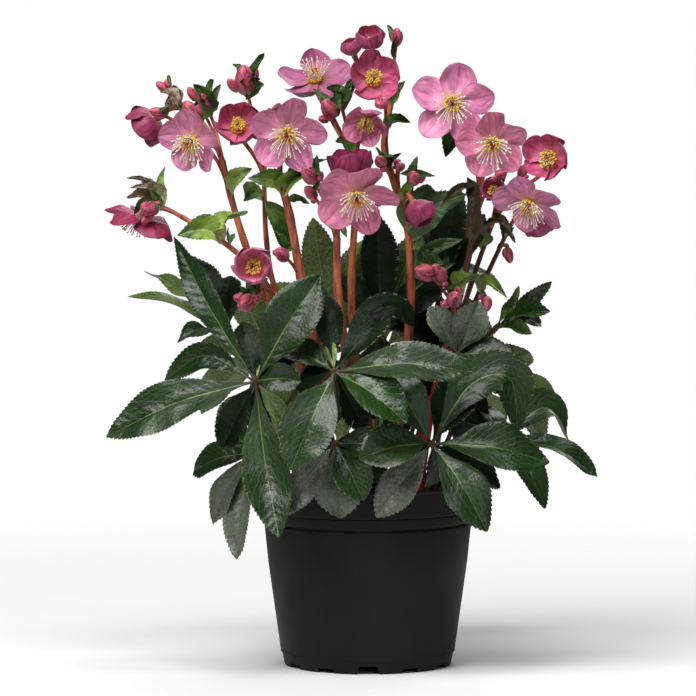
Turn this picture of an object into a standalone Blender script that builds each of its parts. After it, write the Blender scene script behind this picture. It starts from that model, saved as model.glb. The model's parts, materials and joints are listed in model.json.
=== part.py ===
"""Potted hellebore: a black nursery pot of soil, flower stems, toothed leaves, five-sepal blooms and stamens.

Run with blender --background --python part.py, or from the text editor. Metres, +Z up.
The origin is the middle of the pot's base and the plant is seen from -Y.
"""

import math

import bmesh
import bpy
from mathutils import Matrix, Vector

MM = 0.001
UP = Vector((0.0, 0.0, 1.0))
GOLDEN_ANGLE = math.radians(137.5)
GAP = 0.3

# Pot
POT_HEIGHT = 167.0
POT_RIM_RADIUS = 97.5
POT_BASE_RADIUS = 75.8
POT_FOOT_INNER_RADIUS = 72.5
POT_FLOOR_BOTTOM = 8.5
POT_FLOOR_TOP = 11.0
POT_PAD_RADIUS = 14.0
POT_SEGMENTS = 36
POT_OUTSIDE = [
    (POT_BASE_RADIUS, 0.0), (79.0, 13.0), (90.7, 94.0), (94.3, 130.0), (93.2, 131.6),
    (95.7, 133.2), (96.4, 164.0), (POT_RIM_RADIUS, 165.0), (POT_RIM_RADIUS, POT_HEIGHT),
]
POT_INSIDE = [(94.9, POT_HEIGHT), (89.0, 94.0), (77.0, POT_FLOOR_TOP)]
FEET = 12
NOTCH_WIDTH, NOTCH_HEIGHT = 19.0, 4.0
FRONT_NOTCH_WIDTH, FRONT_NOTCH_HEIGHT = 21.0, 7.3
NOTCH_SIDE_SLOPE = 2.5
CUT_BEYOND = 2.0
DRAINS = 6
DRAIN_RADIUS, DRAIN_CIRCLE = 6.0, 56.0
DRAIN_SIDES = 8
POT_SHARP_ANGLE = math.radians(30)

# Soil
SOIL_TOP = 152.0
SOIL_SIDE = [(76.6, POT_FLOOR_TOP + GAP), (88.6, 94.0), (93.2, SOIL_TOP)]
HOLE_DEPTH = 22.0
HOLE_CLEARANCE = 0.5
HOLE_SIDES = 5

# Flower stems, their thin branches, buds and bracts
STEM_SIDES = 6
STEM_ROOT, STEM_TOP = 1.1, 0.6
STRAIGHT_ROOT = 3.0
BRANCH_RADIUS = 1.7
BRANCH_SIDES = 3
BRANCH_STEP = 5.0
BRANCH_STRAIGHT = 3.0
BRANCH_BEND = 0.4
BRANCH_SPANS = 3
BUD_SIDES = 5
BUD_RINGS = [(-0.9, 0.45), (-0.2, 0.98), (0.6, 0.8), (1.35, 0.0)]
SMALL_BUD_RINGS = [(-0.9, 0.45), (0.1, 0.98), (1.35, 0.0)]
LARGE_BUD = 7.5
BUD_SEAT = 0.6
BUD_DROOP = Vector((0.0, -0.5, -0.2))
BRACT_FACING = Vector((0.0, -0.8, 0.6))
BRACT_STATIONS = (0.0, 0.35, 0.72, 1.0)
BRACT_RISE = 0.12
BRACT_KEEL = 0.2

# Leaves
RIB_THICKNESS = 1.5
RIB_LEAST_SHARE = 0.5
RIB_FULL_AT = 4.0
LEAFLET_BASE = 0.05
LEAFLET_SWELL, LEAFLET_ROUNDNESS = 1.35, 0.85  # the first moves the widest place out, the second rounds the end
LEAFLET_FOOT, LEAFLET_FOOT_RISE = 0.45, 1.6  # share of the width at the foot, and how fast it grows from there
LEAFLET_STEPS = 7
SMALL_LEAFLET_STEPS = 5
SMALL_LEAFLET = 75.0
LEAF_KEEL = 0.16
TOOTH_DEPTH = 0.86
TWIST_AT_BASE = 0.4
HUB_RADIUS = 3.2
HUB_END = 0.6
LEAFLET_SEAT = 0.25
STALK_RADIUS = 2.2
STALK_ROOT = 1.15
STALK_SIDES = 4

# Blooms
SEPALS = 5
SEPAL_THICKNESS = 1.3
SEPAL_LEAST_WIDTH = 0.45
SEPAL_WIDTH_PER_DEGREE = 1 / 120
SEPAL_BASE, SEPAL_WIDEST_AT = 0.09, 0.6
SEPAL_STATIONS = (0.0, 0.3, 0.65, 0.9, 1.0)
SMALL_SEPAL_STATIONS = (0.0, 0.4, 0.85, 1.0)
SMALL_SEPAL = 25.0
FULL_SIZE_SEPAL = 30.0
SEPAL_TILT = 13.0
SEPAL_KEEL = 0.12
SEPAL_WAIST = 0.5
CUP_TURN, CUP_MOST = 24.0, 96.0
MIDDLE_RADIUS = 4.2
MIDDLE_THICKNESS = 2.4

# Stamens
STAMENS = 8
STAMEN_LENGTH = 13.0
STAMEN_RADIUS, ANTHER_RADIUS = 0.5, 1.0
STAMEN_SIDES = 3
ANTHER_AT = 0.88
STAMEN_LEAST_LEAN = 18.0
LEAN_PER_DEGREE = 0.6
LEAN_FROM = 30.0
CORE_SHARE = 0.72
CORE_HEIGHTS = (0.0, 2.6, 4.4)
CORE_SIDES = 6
STAMEN_FOOT = 1.6
STAMEN_SPREAD = 0.3

# The sides of a blade's section, each between two of a station's four points
BLADE_SIDES = ((0, 1), (2, 1), (0, 3), (2, 3))

SHARP_ANGLE = math.radians(40)
EXACT_TO = 0.02

COLOURS = {
    "pot": (0.010, 0.010, 0.011),
    "soil": (0.090, 0.040, 0.022),
    "stem": (0.300, 0.070, 0.040),
    "leaf": (0.028, 0.058, 0.028),
    "lilac": (0.560, 0.190, 0.420),
    "pink": (0.620, 0.160, 0.400),
    "rose": (0.480, 0.055, 0.170),
    "magenta": (0.300, 0.022, 0.100),
    "stamen": (0.850, 0.720, 0.330),
}
ROUGHNESS = {"pot": 0.45, "soil": 0.95, "leaf": 0.42, "stem": 0.5}
PETAL_ROUGHNESS = 0.55

# Each bloom: middle of its back, the way it faces, sepal length, how far it is open, turn, colour, stamens
BLOOMS = {
    "bloom_01": ((-157, -55, 479), (-0.45, -0.80, -0.40), 29, 78, 20, "lilac", True),
    "bloom_02": ((-117, -35, 489), (0.05, -0.85, 0.35), 26, 44, 0, "rose", True),
    "bloom_03": ((-72, -85, 486), (-0.05, -0.95, -0.28), 33, 80, 10, "lilac", True),
    "bloom_04": ((-47, -8, 531), (-0.10, -0.66, 0.74), 31, 76, 30, "lilac", True),
    "bloom_05": ((4, -45, 532), (0.15, -0.90, 0.30), 27, 54, 36, "rose", True),
    "bloom_06": ((-2, -70, 498), (-0.05, -0.80, -0.55), 22, 58, 0, "pink", True),
    "bloom_07": ((-10, -112, 433), (0.00, -0.82, -0.57), 35, 78, 5, "pink", True),
    "bloom_08": ((-14, -54, 446), (-0.10, -0.12, 0.98), 27, 40, 20, "magenta", True),
    "bloom_09": ((76, -40, 511), (-0.05, -0.99, 0.10), 35, 82, 12, "lilac", True),
    "bloom_10": ((110, -85, 478), (0.05, -0.90, -0.34), 30, 76, 30, "pink", True),
    "bloom_11": ((165, -40, 463), (-0.50, -0.85, 0.10), 25, 55, 10, "rose", True),
    "bloom_12": ((145, -58, 424), (-0.35, -0.66, -0.66), 31, 80, 24, "lilac", True),
    "bloom_13": ((150, 3, 412), (0.30, 0.25, -0.92), 22, 34, 0, "rose", False),
    "bloom_14": ((-102, -84, 368), (-0.05, -0.97, 0.10), 26, 34, 15, "magenta", True),
    "bloom_15": ((-190, 0, 499), (-0.78, 0.10, -0.62), 27, 40, 0, "rose", False),
    "bloom_16": ((-203, -36, 411), (-0.32, 0.16, -0.93), 33, 72, 12, "magenta", False),
    "bloom_17": ((3, 8, 560), (-0.10, -0.55, 0.83), 20, 30, 0, "magenta", False),
    "bloom_18": ((-12, 34, 553), (-0.35, -0.30, 0.88), 16, 26, 0, "rose", False),
    "bloom_19": ((114, -26, 433), (-0.15, -0.97, 0.15), 16, 36, 0, "magenta", False),
    "bloom_20": ((40, -34, 424), (0.50, -0.30, -0.81), 24, 22, 0, "rose", False),
}

# Each flower stem: radius, place of its foot, route above the soil, then what its branches carry.
# A branch is the index of the route's point that it leaves, and a bloom's name or a bud's place and radius.
# A bract is the same index, its tip and its width.
STEMS = {
    "flower_stem_1": {
        "radius": 3.6, "foot": (-40, -14),
        "route": [
            (-48, -18, 215), (-64, -26, 285), (-84, -33, 335), (-110, -40, 370), (-140, -44, 394),
            (-168, -38, 410),
        ],
        "blooms": [(5, "bloom_16"), (2, "bloom_14")],
        "buds": [(5, (-194, -60, 418), 8), (2, (-107, -66, 335), 9), (2, (-98, -62, 350), 6)],
        "bracts": [(3, (-166, -52, 376), 24), (3, (-104, -62, 402), 20), (5, (-186, -40, 448), 14)],
    },
    "flower_stem_2": {
        "radius": 4.4, "foot": (-26, -10),
        "route": [
            (-38, -10, 220), (-66, -12, 285), (-95, -20, 343), (-112, -24, 388), (-124, -28, 429),
            (-131, -30, 460),
        ],
        "blooms": [(5, "bloom_01"), (5, "bloom_15")],
        "buds": [(5, (-145, -20, 509), 7), (5, (-157, -14, 518), 5), (5, (-184, 6, 524), 5)],
        "bracts": [(5, (-172, -4, 516), 16), (5, (-112, -44, 440), 14)],
    },
    "flower_stem_3": {
        "radius": 3.4, "foot": (-14, 18),
        "route": [(-30, 18, 220), (-58, 14, 285), (-84, 8, 341), (-92, 2, 386), (-94, -4, 440)],
        "blooms": [(4, "bloom_02")],
        "buds": [(4, (-111, -6, 528), 10), (4, (-84, 14, 500), 6)],
        "bracts": [(4, (-66, -14, 446), 22), (4, (-118, -16, 424), 20), (4, (-96, -2, 512), 18)],
    },
    "flower_stem_4": {
        "radius": 5.6, "foot": (-12, -16),
        "route": [(-24, -22, 220), (-46, -30, 290), (-60, -38, 353), (-70, -46, 410), (-78, -52, 440)],
        "blooms": [(4, "bloom_03")],
        "buds": [(2, (-76, -62, 376), 7)],
        "bracts": [(4, (-56, -66, 462), 20), (4, (-92, -58, 458), 12)],
    },
    "flower_stem_5": {
        "radius": 5.2, "foot": (2, -18),
        "route": [(-6, -28, 220), (-20, -40, 290), (-27, -50, 343), (-28, -58, 392)],
        "blooms": [(3, "bloom_07")],
        "buds": [(3, (-51, -74, 447), 8), (3, (-50, -66, 431), 6)],
        "bracts": [(3, (-58, -66, 414), 18), (3, (6, -66, 414), 14)],
    },
    "flower_stem_6": {
        "radius": 4.4, "foot": (8, 4),
        "route": [(0, 2, 220), (-12, -2, 290), (-15, -8, 350), (-12, -16, 405), (-12, -20, 450)],
        "blooms": [(3, "bloom_08"), (4, "bloom_06"), (4, "bloom_04")],
        "buds": [(4, (-34, -34, 504), 8), (4, (-26, -20, 516), 5), (3, (4, -40, 424), 5)],
        "bracts": [(4, (-40, -2, 478), 16), (4, (6, -22, 486), 10)],
    },
    "flower_stem_7": {
        "radius": 4.8, "foot": (26, 4),
        "route": [
            (28, 4, 220), (36, 2, 290), (39, -2, 345), (36, -6, 400), (25, -6, 436), (15, -6, 472),
            (21, -4, 514),
        ],
        "blooms": [(6, "bloom_05"), (6, "bloom_17"), (6, "bloom_18"), (3, "bloom_20")],
        "buds": [
            (6, (26, 4, 568), 6), (4, (12, -28, 458), 6), (3, (41, -30, 443), 7),
            (4, (29, -24, 454), 5),
        ],
        "bracts": [(6, (34, 0, 550), 14), (5, (36, -10, 490), 14), (3, (70, -18, 400), 16)],
    },
    "flower_stem_8": {
        "radius": 4.2, "foot": (46, -18),
        "route": [(54, -16, 215), (64, -8, 262), (80, 0, 320), (92, -4, 375), (100, -10, 420)],
        "blooms": [(4, "bloom_09"), (4, "bloom_10")],
        "buds": [(2, (53, -32, 358), 9), (2, (66, -30, 356), 7), (2, (78, -26, 334), 8)],
        "bracts": [(4, (72, -16, 476), 14), (2, (56, -28, 344), 16), (4, (124, 0, 446), 16)],
    },
    "flower_stem_9": {
        "radius": 3.4, "foot": (44, 14),
        "route": [(54, 18, 215), (76, 22, 285), (94, 20, 345), (112, 10, 398)],
        "blooms": [(3, "bloom_11"), (3, "bloom_19")],
        "buds": [(3, (128, -8, 456), 6), (3, (140, 8, 448), 5)],
        "bracts": [(3, (104, 14, 446), 16), (3, (140, 16, 424), 12)],
    },
    "flower_stem_10": {
        "radius": 3.2, "foot": (36, 34),
        "route": [(50, 40, 215), (80, 42, 285), (106, 34, 346), (126, 10, 392)],
        "blooms": [(3, "bloom_12"), (3, "bloom_13")],
        "buds": [(2, (108, 12, 330), 6), (3, (128, 22, 374), 5)],
        "bracts": [(3, (160, 10, 380), 12), (2, (130, 30, 340), 14)],
    },
}

# Each leaf: place of its foot, stalk above the soil, hub, the way its upper side faces, and its leaflets.
# A leaflet is its tip, width, rise of its rib over a straight line, twist in degrees, and points on the way.
LEAVES = {
    "leaf_01": {
        "foot": (-48, -34), "stalk": [(-62, -52, 200), (-88, -84, 245)], "hub": (-100, -105, 267),
        "facing": (-0.15, -0.85, 0.50),
        "leaflets": [
            ((-174, -60, 393), 26, 4, -25, [(-137, -88, 324)]), ((-42, -98, 361), 46, 6, 12, []),
            ((-233, -104, 217), 43, 14, 0, []), ((-79, -128, 130), 42, 8, 0, []),
            ((-59, -122, 268), 26, 6, 20, []), ((-183, -50, 263), 24, 4, -20, [(-146, -72, 287)]),
            ((-130, -80, 205), 34, 4, 0, []),
        ],
    },
    "leaf_02": {
        "foot": (-20, -44), "stalk": [(-24, -62, 200), (-28, -94, 250)], "hub": (-30, -112, 276),
        "facing": (0.10, -0.80, 0.60),
        "leaflets": [
            ((93, -132, 277), 40, 14, 0, []), ((34, -150, 233), 40, 8, 0, []),
            ((-69, -142, 191), 48, 10, 0, []), ((-78, -78, 296), 28, 4, 0, []),
            ((19, -84, 327), 30, 6, -15, []), ((-36, -98, 302), 10, 2, 0, []),
        ],
    },
    "leaf_03": {
        "foot": (30, -44), "stalk": [(36, -62, 185), (50, -94, 205)], "hub": (56, -112, 212),
        "facing": (0.15, -0.80, 0.60),
        "leaflets": [
            ((16, -96, 273), 38, 5, 0, []), ((134, -82, 221), 42, 0, 0, [(91, -90, 262), (126, -86, 268)]),
            ((161, -110, 195), 46, 10, 0, []), ((105, -138, 136), 42, 8, 0, []),
            ((-9, -140, 201), 42, 8, 0, []), ((7, -124, 147), 34, 4, 0, []),
        ],
    },
    "leaf_04": {
        "foot": (-34, -52), "stalk": [(-36, -66, 180), (-33, -88, 202)], "hub": (-30, -102, 211),
        "facing": (0.0, -0.90, 0.40),
        "leaflets": [
            ((-76, -120, 148), 28, 6, 0, []), ((-4, -124, 162), 34, 6, 0, []),
            ((-24, -112, 145), 44, 2, 0, []), ((22, -112, 206), 30, 8, 0, []),
            ((-14, -100, 236), 12, 2, 0, []),
        ],
    },
    "leaf_05": {
        "foot": (62, -24), "stalk": [(82, -34, 180), (108, -50, 202)], "hub": (119, -55, 210),
        "facing": (0.45, -0.45, 0.77),
        "leaflets": [
            ((206, -60, 177), 34, 12, 0, []), ((182, -18, 206), 36, 0, 0, [(160, -32, 237)]),
            ((158, -88, 151), 34, 8, 0, []), ((96, -14, 238), 30, 6, 0, []),
        ],
    },
    "leaf_06": {
        "foot": (56, 2), "stalk": [(66, -8, 215), (76, -32, 262)], "hub": (81, -48, 286),
        "facing": (0.25, -0.80, 0.55),
        "leaflets": [
            ((54, -58, 330), 28, 4, 0, []), ((99, -62, 336), 32, 4, 0, []),
            ((130, -60, 284), 32, 6, 0, []), ((120, -78, 252), 30, 6, 0, []),
        ],
    },
    "leaf_07": {
        "foot": (-58, -22), "stalk": [(-74, -40, 180), (-90, -62, 198)], "hub": (-100, -72, 200),
        "facing": (-0.55, -0.60, 0.58),
        "leaflets": [
            ((-139, -78, 136), 32, 8, 0, []), ((-117, -102, 107), 32, 8, 0, []),
            ((-158, -30, 178), 34, 8, 0, []), ((-128, -8, 214), 28, 6, 0, []),
        ],
    },
    "leaf_08": {
        "foot": (-50, 4), "stalk": [(-72, -2, 215), (-108, -8, 275)], "hub": (-127, -10, 302),
        "facing": (-0.25, -0.35, 0.90),
        "leaflets": [
            ((-218, -6, 336), 28, 10, 0, []), ((-204, 14, 358), 24, 8, 0, []),
            ((-172, -34, 296), 26, 8, 0, []), ((-164, 24, 372), 34, 6, 0, []),
            ((-126, 40, 352), 28, 6, 0, []),
        ],
    },
    "leaf_09": {
        "foot": (-28, 34), "stalk": [(-34, 36, 215), (-34, 34, 275)], "hub": (-34, 32, 300),
        "facing": (0.0, 0.92, 0.38),
        "leaflets": [
            ((-50, 26, 406), 32, 4, 0, []), ((-4, 46, 384), 30, 6, 0, []),
            ((-96, 56, 340), 34, 8, 0, []), ((-36, 108, 310), 34, 10, 0, []), ((-74, 26, 280), 32, 6, 0, []),
        ],
    },
    "leaf_10": {
        "foot": (14, 30), "stalk": [(16, 30, 220), (14, 26, 280)], "hub": (12, 24, 304),
        "facing": (0.10, -0.70, 0.70),
        "leaflets": [
            ((8, 28, 410), 34, 4, 0, []), ((70, 20, 350), 34, 6, 0, []), ((48, 44, 392), 34, 6, 0, []),
            ((66, 46, 286), 34, 8, 0, []),
        ],
    },
    "leaf_11": {
        "foot": (30, 54), "stalk": [(44, 58, 220), (60, 58, 300)], "hub": (66, 56, 335),
        "facing": (-0.10, -0.75, 0.65),
        "leaflets": [
            ((83, 60, 435), 32, 6, 0, []), ((56, 64, 424), 30, 6, 0, []),
            ((108, 76, 407), 30, 6, 0, []), ((116, 104, 350), 30, 10, 0, []),
        ],
    },
    "leaf_12": {
        "foot": (62, 22), "stalk": [(76, 24, 210), (100, 28, 280)], "hub": (118, 26, 306),
        "facing": (0.30, -0.50, 0.80),
        "leaflets": [
            ((166, 20, 347), 18, 8, 0, []), ((163, 0, 326), 18, 8, 0, []), ((160, 56, 318), 26, 8, 0, []),
        ],
    },
    "leaf_13": {
        "foot": (-46, 46), "stalk": [(-58, 62, 205), (-78, 86, 256)], "hub": (-88, 96, 272),
        "facing": (-0.20, 0.60, 0.77),
        "leaflets": [
            ((-172, 92, 262), 40, 14, 0, []), ((-156, 162, 214), 42, 14, 0, []),
            ((-84, 186, 190), 42, 16, 0, []), ((-24, 128, 276), 36, 10, 0, []),
            ((-122, 72, 340), 34, 8, 0, []), ((-60, 78, 346), 34, 6, 0, []),
        ],
    },
    "leaf_14": {
        "foot": (6, 58), "stalk": [(8, 80, 200), (12, 104, 262)], "hub": (14, 112, 280),
        "facing": (0.0, 0.62, 0.78),
        "leaflets": [
            ((-48, 154, 206), 40, 12, 0, []), ((12, 190, 176), 42, 12, 0, []),
            ((74, 158, 208), 40, 12, 0, []), ((78, 96, 312), 36, 6, 0, []), ((-14, 92, 356), 34, 6, 0, []),
            ((40, 88, 364), 34, 6, 0, []),
        ],
    },
    "leaf_15": {
        "foot": (54, 46), "stalk": [(72, 62, 195), (96, 82, 238)], "hub": (106, 90, 250),
        "facing": (0.40, 0.55, 0.73),
        "leaflets": [
            ((178, 78, 222), 40, 14, 0, []), ((166, 142, 186), 42, 14, 0, []),
            ((104, 172, 172), 40, 14, 0, []), ((150, 56, 280), 34, 8, 0, []), ((92, 70, 330), 34, 6, 0, []),
        ],
    },
}


def clear_scene():
    for obj in list(bpy.data.objects):
        bpy.data.objects.remove(obj)


def material(name, key):
    made = bpy.data.materials.new(name)
    made.use_nodes = True
    shader = made.node_tree.nodes["Principled BSDF"]
    shader.inputs["Base Color"].default_value = (*COLOURS[key], 1.0)
    shader.inputs["Roughness"].default_value = ROUGHNESS.get(key, PETAL_ROUGHNESS)
    shader.inputs["Metallic"].default_value = 0.0
    return made


def add_object(name, points, faces):
    """A mesh object of points in millimetres, its faces turned outwards."""
    mesh = bpy.data.meshes.new(name)
    mesh.from_pydata([Vector(point) * MM for point in points], [], faces)
    work = bmesh.new()
    work.from_mesh(mesh)
    bmesh.ops.recalc_face_normals(work, faces=work.faces)
    work.to_mesh(mesh)
    work.free()
    obj = bpy.data.objects.new(name, mesh)
    bpy.context.scene.collection.objects.link(obj)
    return obj


def apply_modifiers(obj):
    graph = bpy.context.evaluated_depsgraph_get()
    mesh = bpy.data.meshes.new_from_object(obj.evaluated_get(graph))
    obj.modifiers.clear()
    obj.data = mesh


def boolean_with(obj, helpers, operation):
    """One Boolean of obj with a collection of helper objects, applied, with the helpers then removed."""
    group = bpy.data.collections.new("helpers")
    bpy.context.scene.collection.children.link(group)
    for helper in helpers:
        bpy.context.scene.collection.objects.unlink(helper)
        group.objects.link(helper)
    step = obj.modifiers.new(operation.lower(), "BOOLEAN")
    step.operation = operation
    step.operand_type = "COLLECTION"
    step.collection = group
    step.solver = "EXACT"
    apply_modifiers(obj)
    for helper in helpers:
        bpy.data.objects.remove(helper)
    bpy.data.collections.remove(group)


def fuse(name, shapes, key):
    """One closed body of overlapping closed shapes, each a pair of points and faces."""
    objects = [add_object(name, points, faces) for points, faces in shapes]
    body = objects[0]
    body.name = name
    if len(objects) > 1:
        boolean_with(body, objects[1:], "UNION")
    body.data.name = name
    body.data.materials.clear()
    body.data.materials.append(material(name, key))
    body.data.shade_smooth()
    body.data.set_sharp_from_angle(angle=SHARP_ANGLE)
    return body


def along(points, t):
    """The point at share t of a smooth curve through the points."""
    spans = [(b - a).length for a, b in zip(points, points[1:])]
    left = max(0.0, min(1.0, t)) * sum(spans)
    index = 0
    while index < len(spans) - 1 and left > spans[index]:
        left -= spans[index]
        index += 1
    u = left / spans[index]
    p1, p2 = points[index], points[index + 1]
    p0 = points[index - 1] if index > 0 else p1 * 2 - p2
    p3 = points[index + 2] if index + 2 < len(points) else p2 * 2 - p1
    bend = (p0 * 2 - p1 * 5 + p2 * 4 - p3) * u * u + (p1 * 3 - p0 - p2 * 3 + p3) * u * u * u
    return (p1 * 2 + (p2 - p0) * u + bend) / 2


def direction(points, t):
    return (along(points, t + EXACT_TO) - along(points, t - EXACT_TO)).normalized()


def leaflet_outline(t):
    """Half the width of a leaflet at share t of its length: a narrow foot, widest well past its middle."""
    rounded = math.sin(math.pi * t**LEAFLET_SWELL) ** LEAFLET_ROUNDNESS
    return max(LEAFLET_BASE, rounded * min(1.0, LEAFLET_FOOT + LEAFLET_FOOT_RISE * t))


def sepal_outline(t):
    """Half the width of a sepal at share t of its length: narrow at its base, with a round end."""
    if t < SEPAL_WIDEST_AT:
        return SEPAL_BASE + (1 - SEPAL_BASE) * math.sin(math.pi / 2 * t / SEPAL_WIDEST_AT)
    return math.sqrt(max(0.0, 1 - ((t - SEPAL_WIDEST_AT) / (1 - SEPAL_WIDEST_AT)) ** 2))


def blade(spine, facing, width, outline, stations, thickness, keel, notch=1.0, twist=0.0):
    """A thin closed blade along the spine, thickest at its rib, with teeth as deep as notch leaves."""
    points, faces = [], []
    for number, t in enumerate(stations[:-1]):
        middle = along(spine, t)
        forward = direction(spine, t)
        side = forward.cross(facing).normalized()
        side = Matrix.Rotation(math.radians(twist * (TWIST_AT_BASE + t)), 3, forward) @ side
        raised = side.cross(forward).normalized()
        half = width / 2 * outline(t)
        if number % 2 == 0 and number > 0:
            half *= notch
        rib = raised * thickness / 2 * max(RIB_LEAST_SHARE, min(1.0, half / RIB_FULL_AT))
        edge = side * half
        fold = raised * keel * half
        points += [middle + edge + fold, middle + rib, middle - edge + fold, middle - rib]
    points.append(along(spine, 1.0))
    last = len(stations) - 2
    for number in range(last):
        a, b = 4 * number, 4 * number + 4
        for one, two in BLADE_SIDES:
            faces += [(a + one, b + one, a + two), (a + two, b + one, b + two)]
    a, tip = 4 * last, len(points) - 1
    faces += [(a + one, a + two, tip) for one, two in BLADE_SIDES]
    faces += [(0, 1, 3), (2, 1, 3)]
    return points, faces


def tube(route, radii, sides, pointed=False):
    """A closed tube through the route's points, with a flat cap at each end or a point at the last."""
    points, faces = [], []
    forward = (route[1] - route[0]).normalized()
    side = forward.orthogonal().normalized()
    last = len(route) - 1
    for number, (middle, radius) in enumerate(zip(route, radii)):
        if 0 < number < last:
            forward = (route[number + 1] - route[number - 1]).normalized()
        elif number == last:
            forward = (route[number] - route[number - 1]).normalized()
        side = (side - forward * side.dot(forward)).normalized()
        other = forward.cross(side)
        if pointed and number == last:
            points.append(middle)
            break
        for step in range(sides):
            angle = 2 * math.pi * step / sides
            points.append(middle + (side * math.cos(angle) + other * math.sin(angle)) * radius)
    rings = last if pointed else last + 1
    for ring in range(rings - 1):
        for step in range(sides):
            a, b = ring * sides + step, ring * sides + (step + 1) % sides
            faces += [(a, b, b + sides), (a, b + sides, a + sides)]
    faces.append(tuple(range(sides)))
    top = (rings - 1) * sides
    if pointed:
        faces += [(top + step, top + (step + 1) % sides, len(points) - 1) for step in range(sides)]
    else:
        faces.append(tuple(range(top, top + sides)))
    return points, faces


def turned(profile, segments):
    """A solid turned about Z from a profile of radius and height that starts and ends on the axis."""
    points, rings, faces = [], [], []
    for radius, height in profile:
        count = 1 if radius == 0 else segments
        rings.append(range(len(points), len(points) + count))
        for step in range(count):
            angle = 2 * math.pi * step / segments - math.pi / 2
            points.append(Vector((radius * math.cos(angle), radius * math.sin(angle), height)))
    for low, high in zip(rings, rings[1:]):
        for step in range(segments):
            after = (step + 1) % segments
            if len(low) == 1:
                faces.append((low[0], high[after], high[step]))
            elif len(high) == 1:
                faces.append((low[step], low[after], high[0]))
            else:
                faces.append((low[step], low[after], high[after], high[step]))
    return points, faces


def notch_cutter(number):
    """A sloping-sided block that cuts the gap between two feet."""
    front = number == 0
    wide = FRONT_NOTCH_WIDTH if front else NOTCH_WIDTH
    tall = FRONT_NOTCH_HEIGHT if front else NOTCH_HEIGHT
    low, high = wide / 2 + NOTCH_SIDE_SLOPE * CUT_BEYOND / tall, wide / 2 - NOTCH_SIDE_SLOPE
    corners = ((-low, -CUT_BEYOND), (low, -CUT_BEYOND), (high, tall), (-high, tall))
    turn = Matrix.Rotation(2 * math.pi * number / FEET, 3, "Z")
    points = []
    for reach in (POT_FOOT_INNER_RADIUS - CUT_BEYOND, POT_RIM_RADIUS):
        points += [turn @ Vector((across, -reach, height)) for across, height in corners]
    faces = [(0, 1, 2, 3), (4, 5, 6, 7), (0, 1, 5, 4), (1, 2, 6, 5), (2, 3, 7, 6), (3, 0, 4, 7)]
    return add_object("notch", points, faces)


def prism(x, y, radius, low, high, sides):
    route = [Vector((x, y, low)), Vector((x, y, high))]
    return add_object("prism", *tube(route, [radius, radius], sides))


def make_pot():
    under = [(POT_FOOT_INNER_RADIUS, POT_FLOOR_BOTTOM), (POT_FOOT_INNER_RADIUS, 0.0)]
    pad = [(0.0, 0.0), (POT_PAD_RADIUS, 0.0), (POT_PAD_RADIUS, POT_FLOOR_BOTTOM)]
    profile = pad + under + POT_OUTSIDE + POT_INSIDE + [(0.0, POT_FLOOR_TOP)]
    pot = add_object("pot", *turned(profile, POT_SEGMENTS))
    cutters = [notch_cutter(number) for number in range(FEET)]
    for number in range(DRAINS):
        angle = 2 * math.pi * number / DRAINS
        x, y = DRAIN_CIRCLE * math.cos(angle), DRAIN_CIRCLE * math.sin(angle)
        low, high = POT_FLOOR_BOTTOM - CUT_BEYOND, POT_FLOOR_TOP + CUT_BEYOND
        cutters.append(prism(x, y, DRAIN_RADIUS, low, high, DRAIN_SIDES))
    boolean_with(pot, cutters, "DIFFERENCE")
    pot.data.materials.append(material("pot", "pot"))
    pot.data.shade_smooth()
    pot.data.set_sharp_from_angle(angle=POT_SHARP_ANGLE)


def make_soil():
    profile = [(0.0, SOIL_SIDE[0][1])] + SOIL_SIDE + [(0.0, SOIL_TOP)]
    soil = add_object("soil", *turned(profile, POT_SEGMENTS))
    feet = [(stem["foot"], stem["radius"] * STEM_ROOT) for stem in STEMS.values()]
    feet += [(leaf["foot"], STALK_RADIUS * STALK_ROOT) for leaf in LEAVES.values()]
    holes = []
    for (x, y), radius in feet:
        wide = (radius + HOLE_CLEARANCE) / math.cos(math.pi / HOLE_SIDES)
        holes.append(prism(x, y, wide, SOIL_TOP - HOLE_DEPTH, SOIL_TOP + CUT_BEYOND, HOLE_SIDES))
    boolean_with(soil, holes, "DIFFERENCE")
    soil.data.materials.append(material("soil", "soil"))


def rooted(foot, route):
    """The route with a straight upright start in its hole in the soil."""
    x, y = foot
    low = Vector((x, y, SOIL_TOP - HOLE_DEPTH + GAP))
    return [low, Vector((x, y, SOIL_TOP + STRAIGHT_ROOT))] + [Vector(point) for point in route]


def leaflet(hub, facing, tip, width, rise, twist, between):
    """One leaflet from the hub to its tip, arched by rise or led through the points between."""
    tip = Vector(tip)
    root = hub + (tip - hub).normalized() * HUB_RADIUS * LEAFLET_SEAT
    steps = LEAFLET_STEPS if (tip - hub).length > SMALL_LEAFLET else SMALL_LEAFLET_STEPS
    stations = [number / steps for number in range(steps + 1)]
    middle = [Vector(point) for point in between] or [(root + tip) / 2 + facing * rise]
    spine = [root] + middle + [tip]
    return blade(
        spine, facing, width, leaflet_outline, stations, RIB_THICKNESS, LEAF_KEEL, TOOTH_DEPTH, twist
    )


def make_leaf(name, leaf):
    hub = Vector(leaf["hub"])
    facing = Vector(leaf["facing"]).normalized()
    stalk = rooted(leaf["foot"], leaf["stalk"]) + [hub]
    stalk.append(hub + (hub - stalk[-2]).normalized() * HUB_RADIUS)
    radii = [STALK_RADIUS * STALK_ROOT] * 2 + [STALK_RADIUS] * (len(stalk) - 4)
    radii += [HUB_RADIUS, HUB_RADIUS * HUB_END]
    shapes = [tube(stalk, radii, STALK_SIDES)]
    shapes += [leaflet(hub, facing, *values) for values in leaf["leaflets"]]
    fuse(name, shapes, "leaf")


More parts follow.
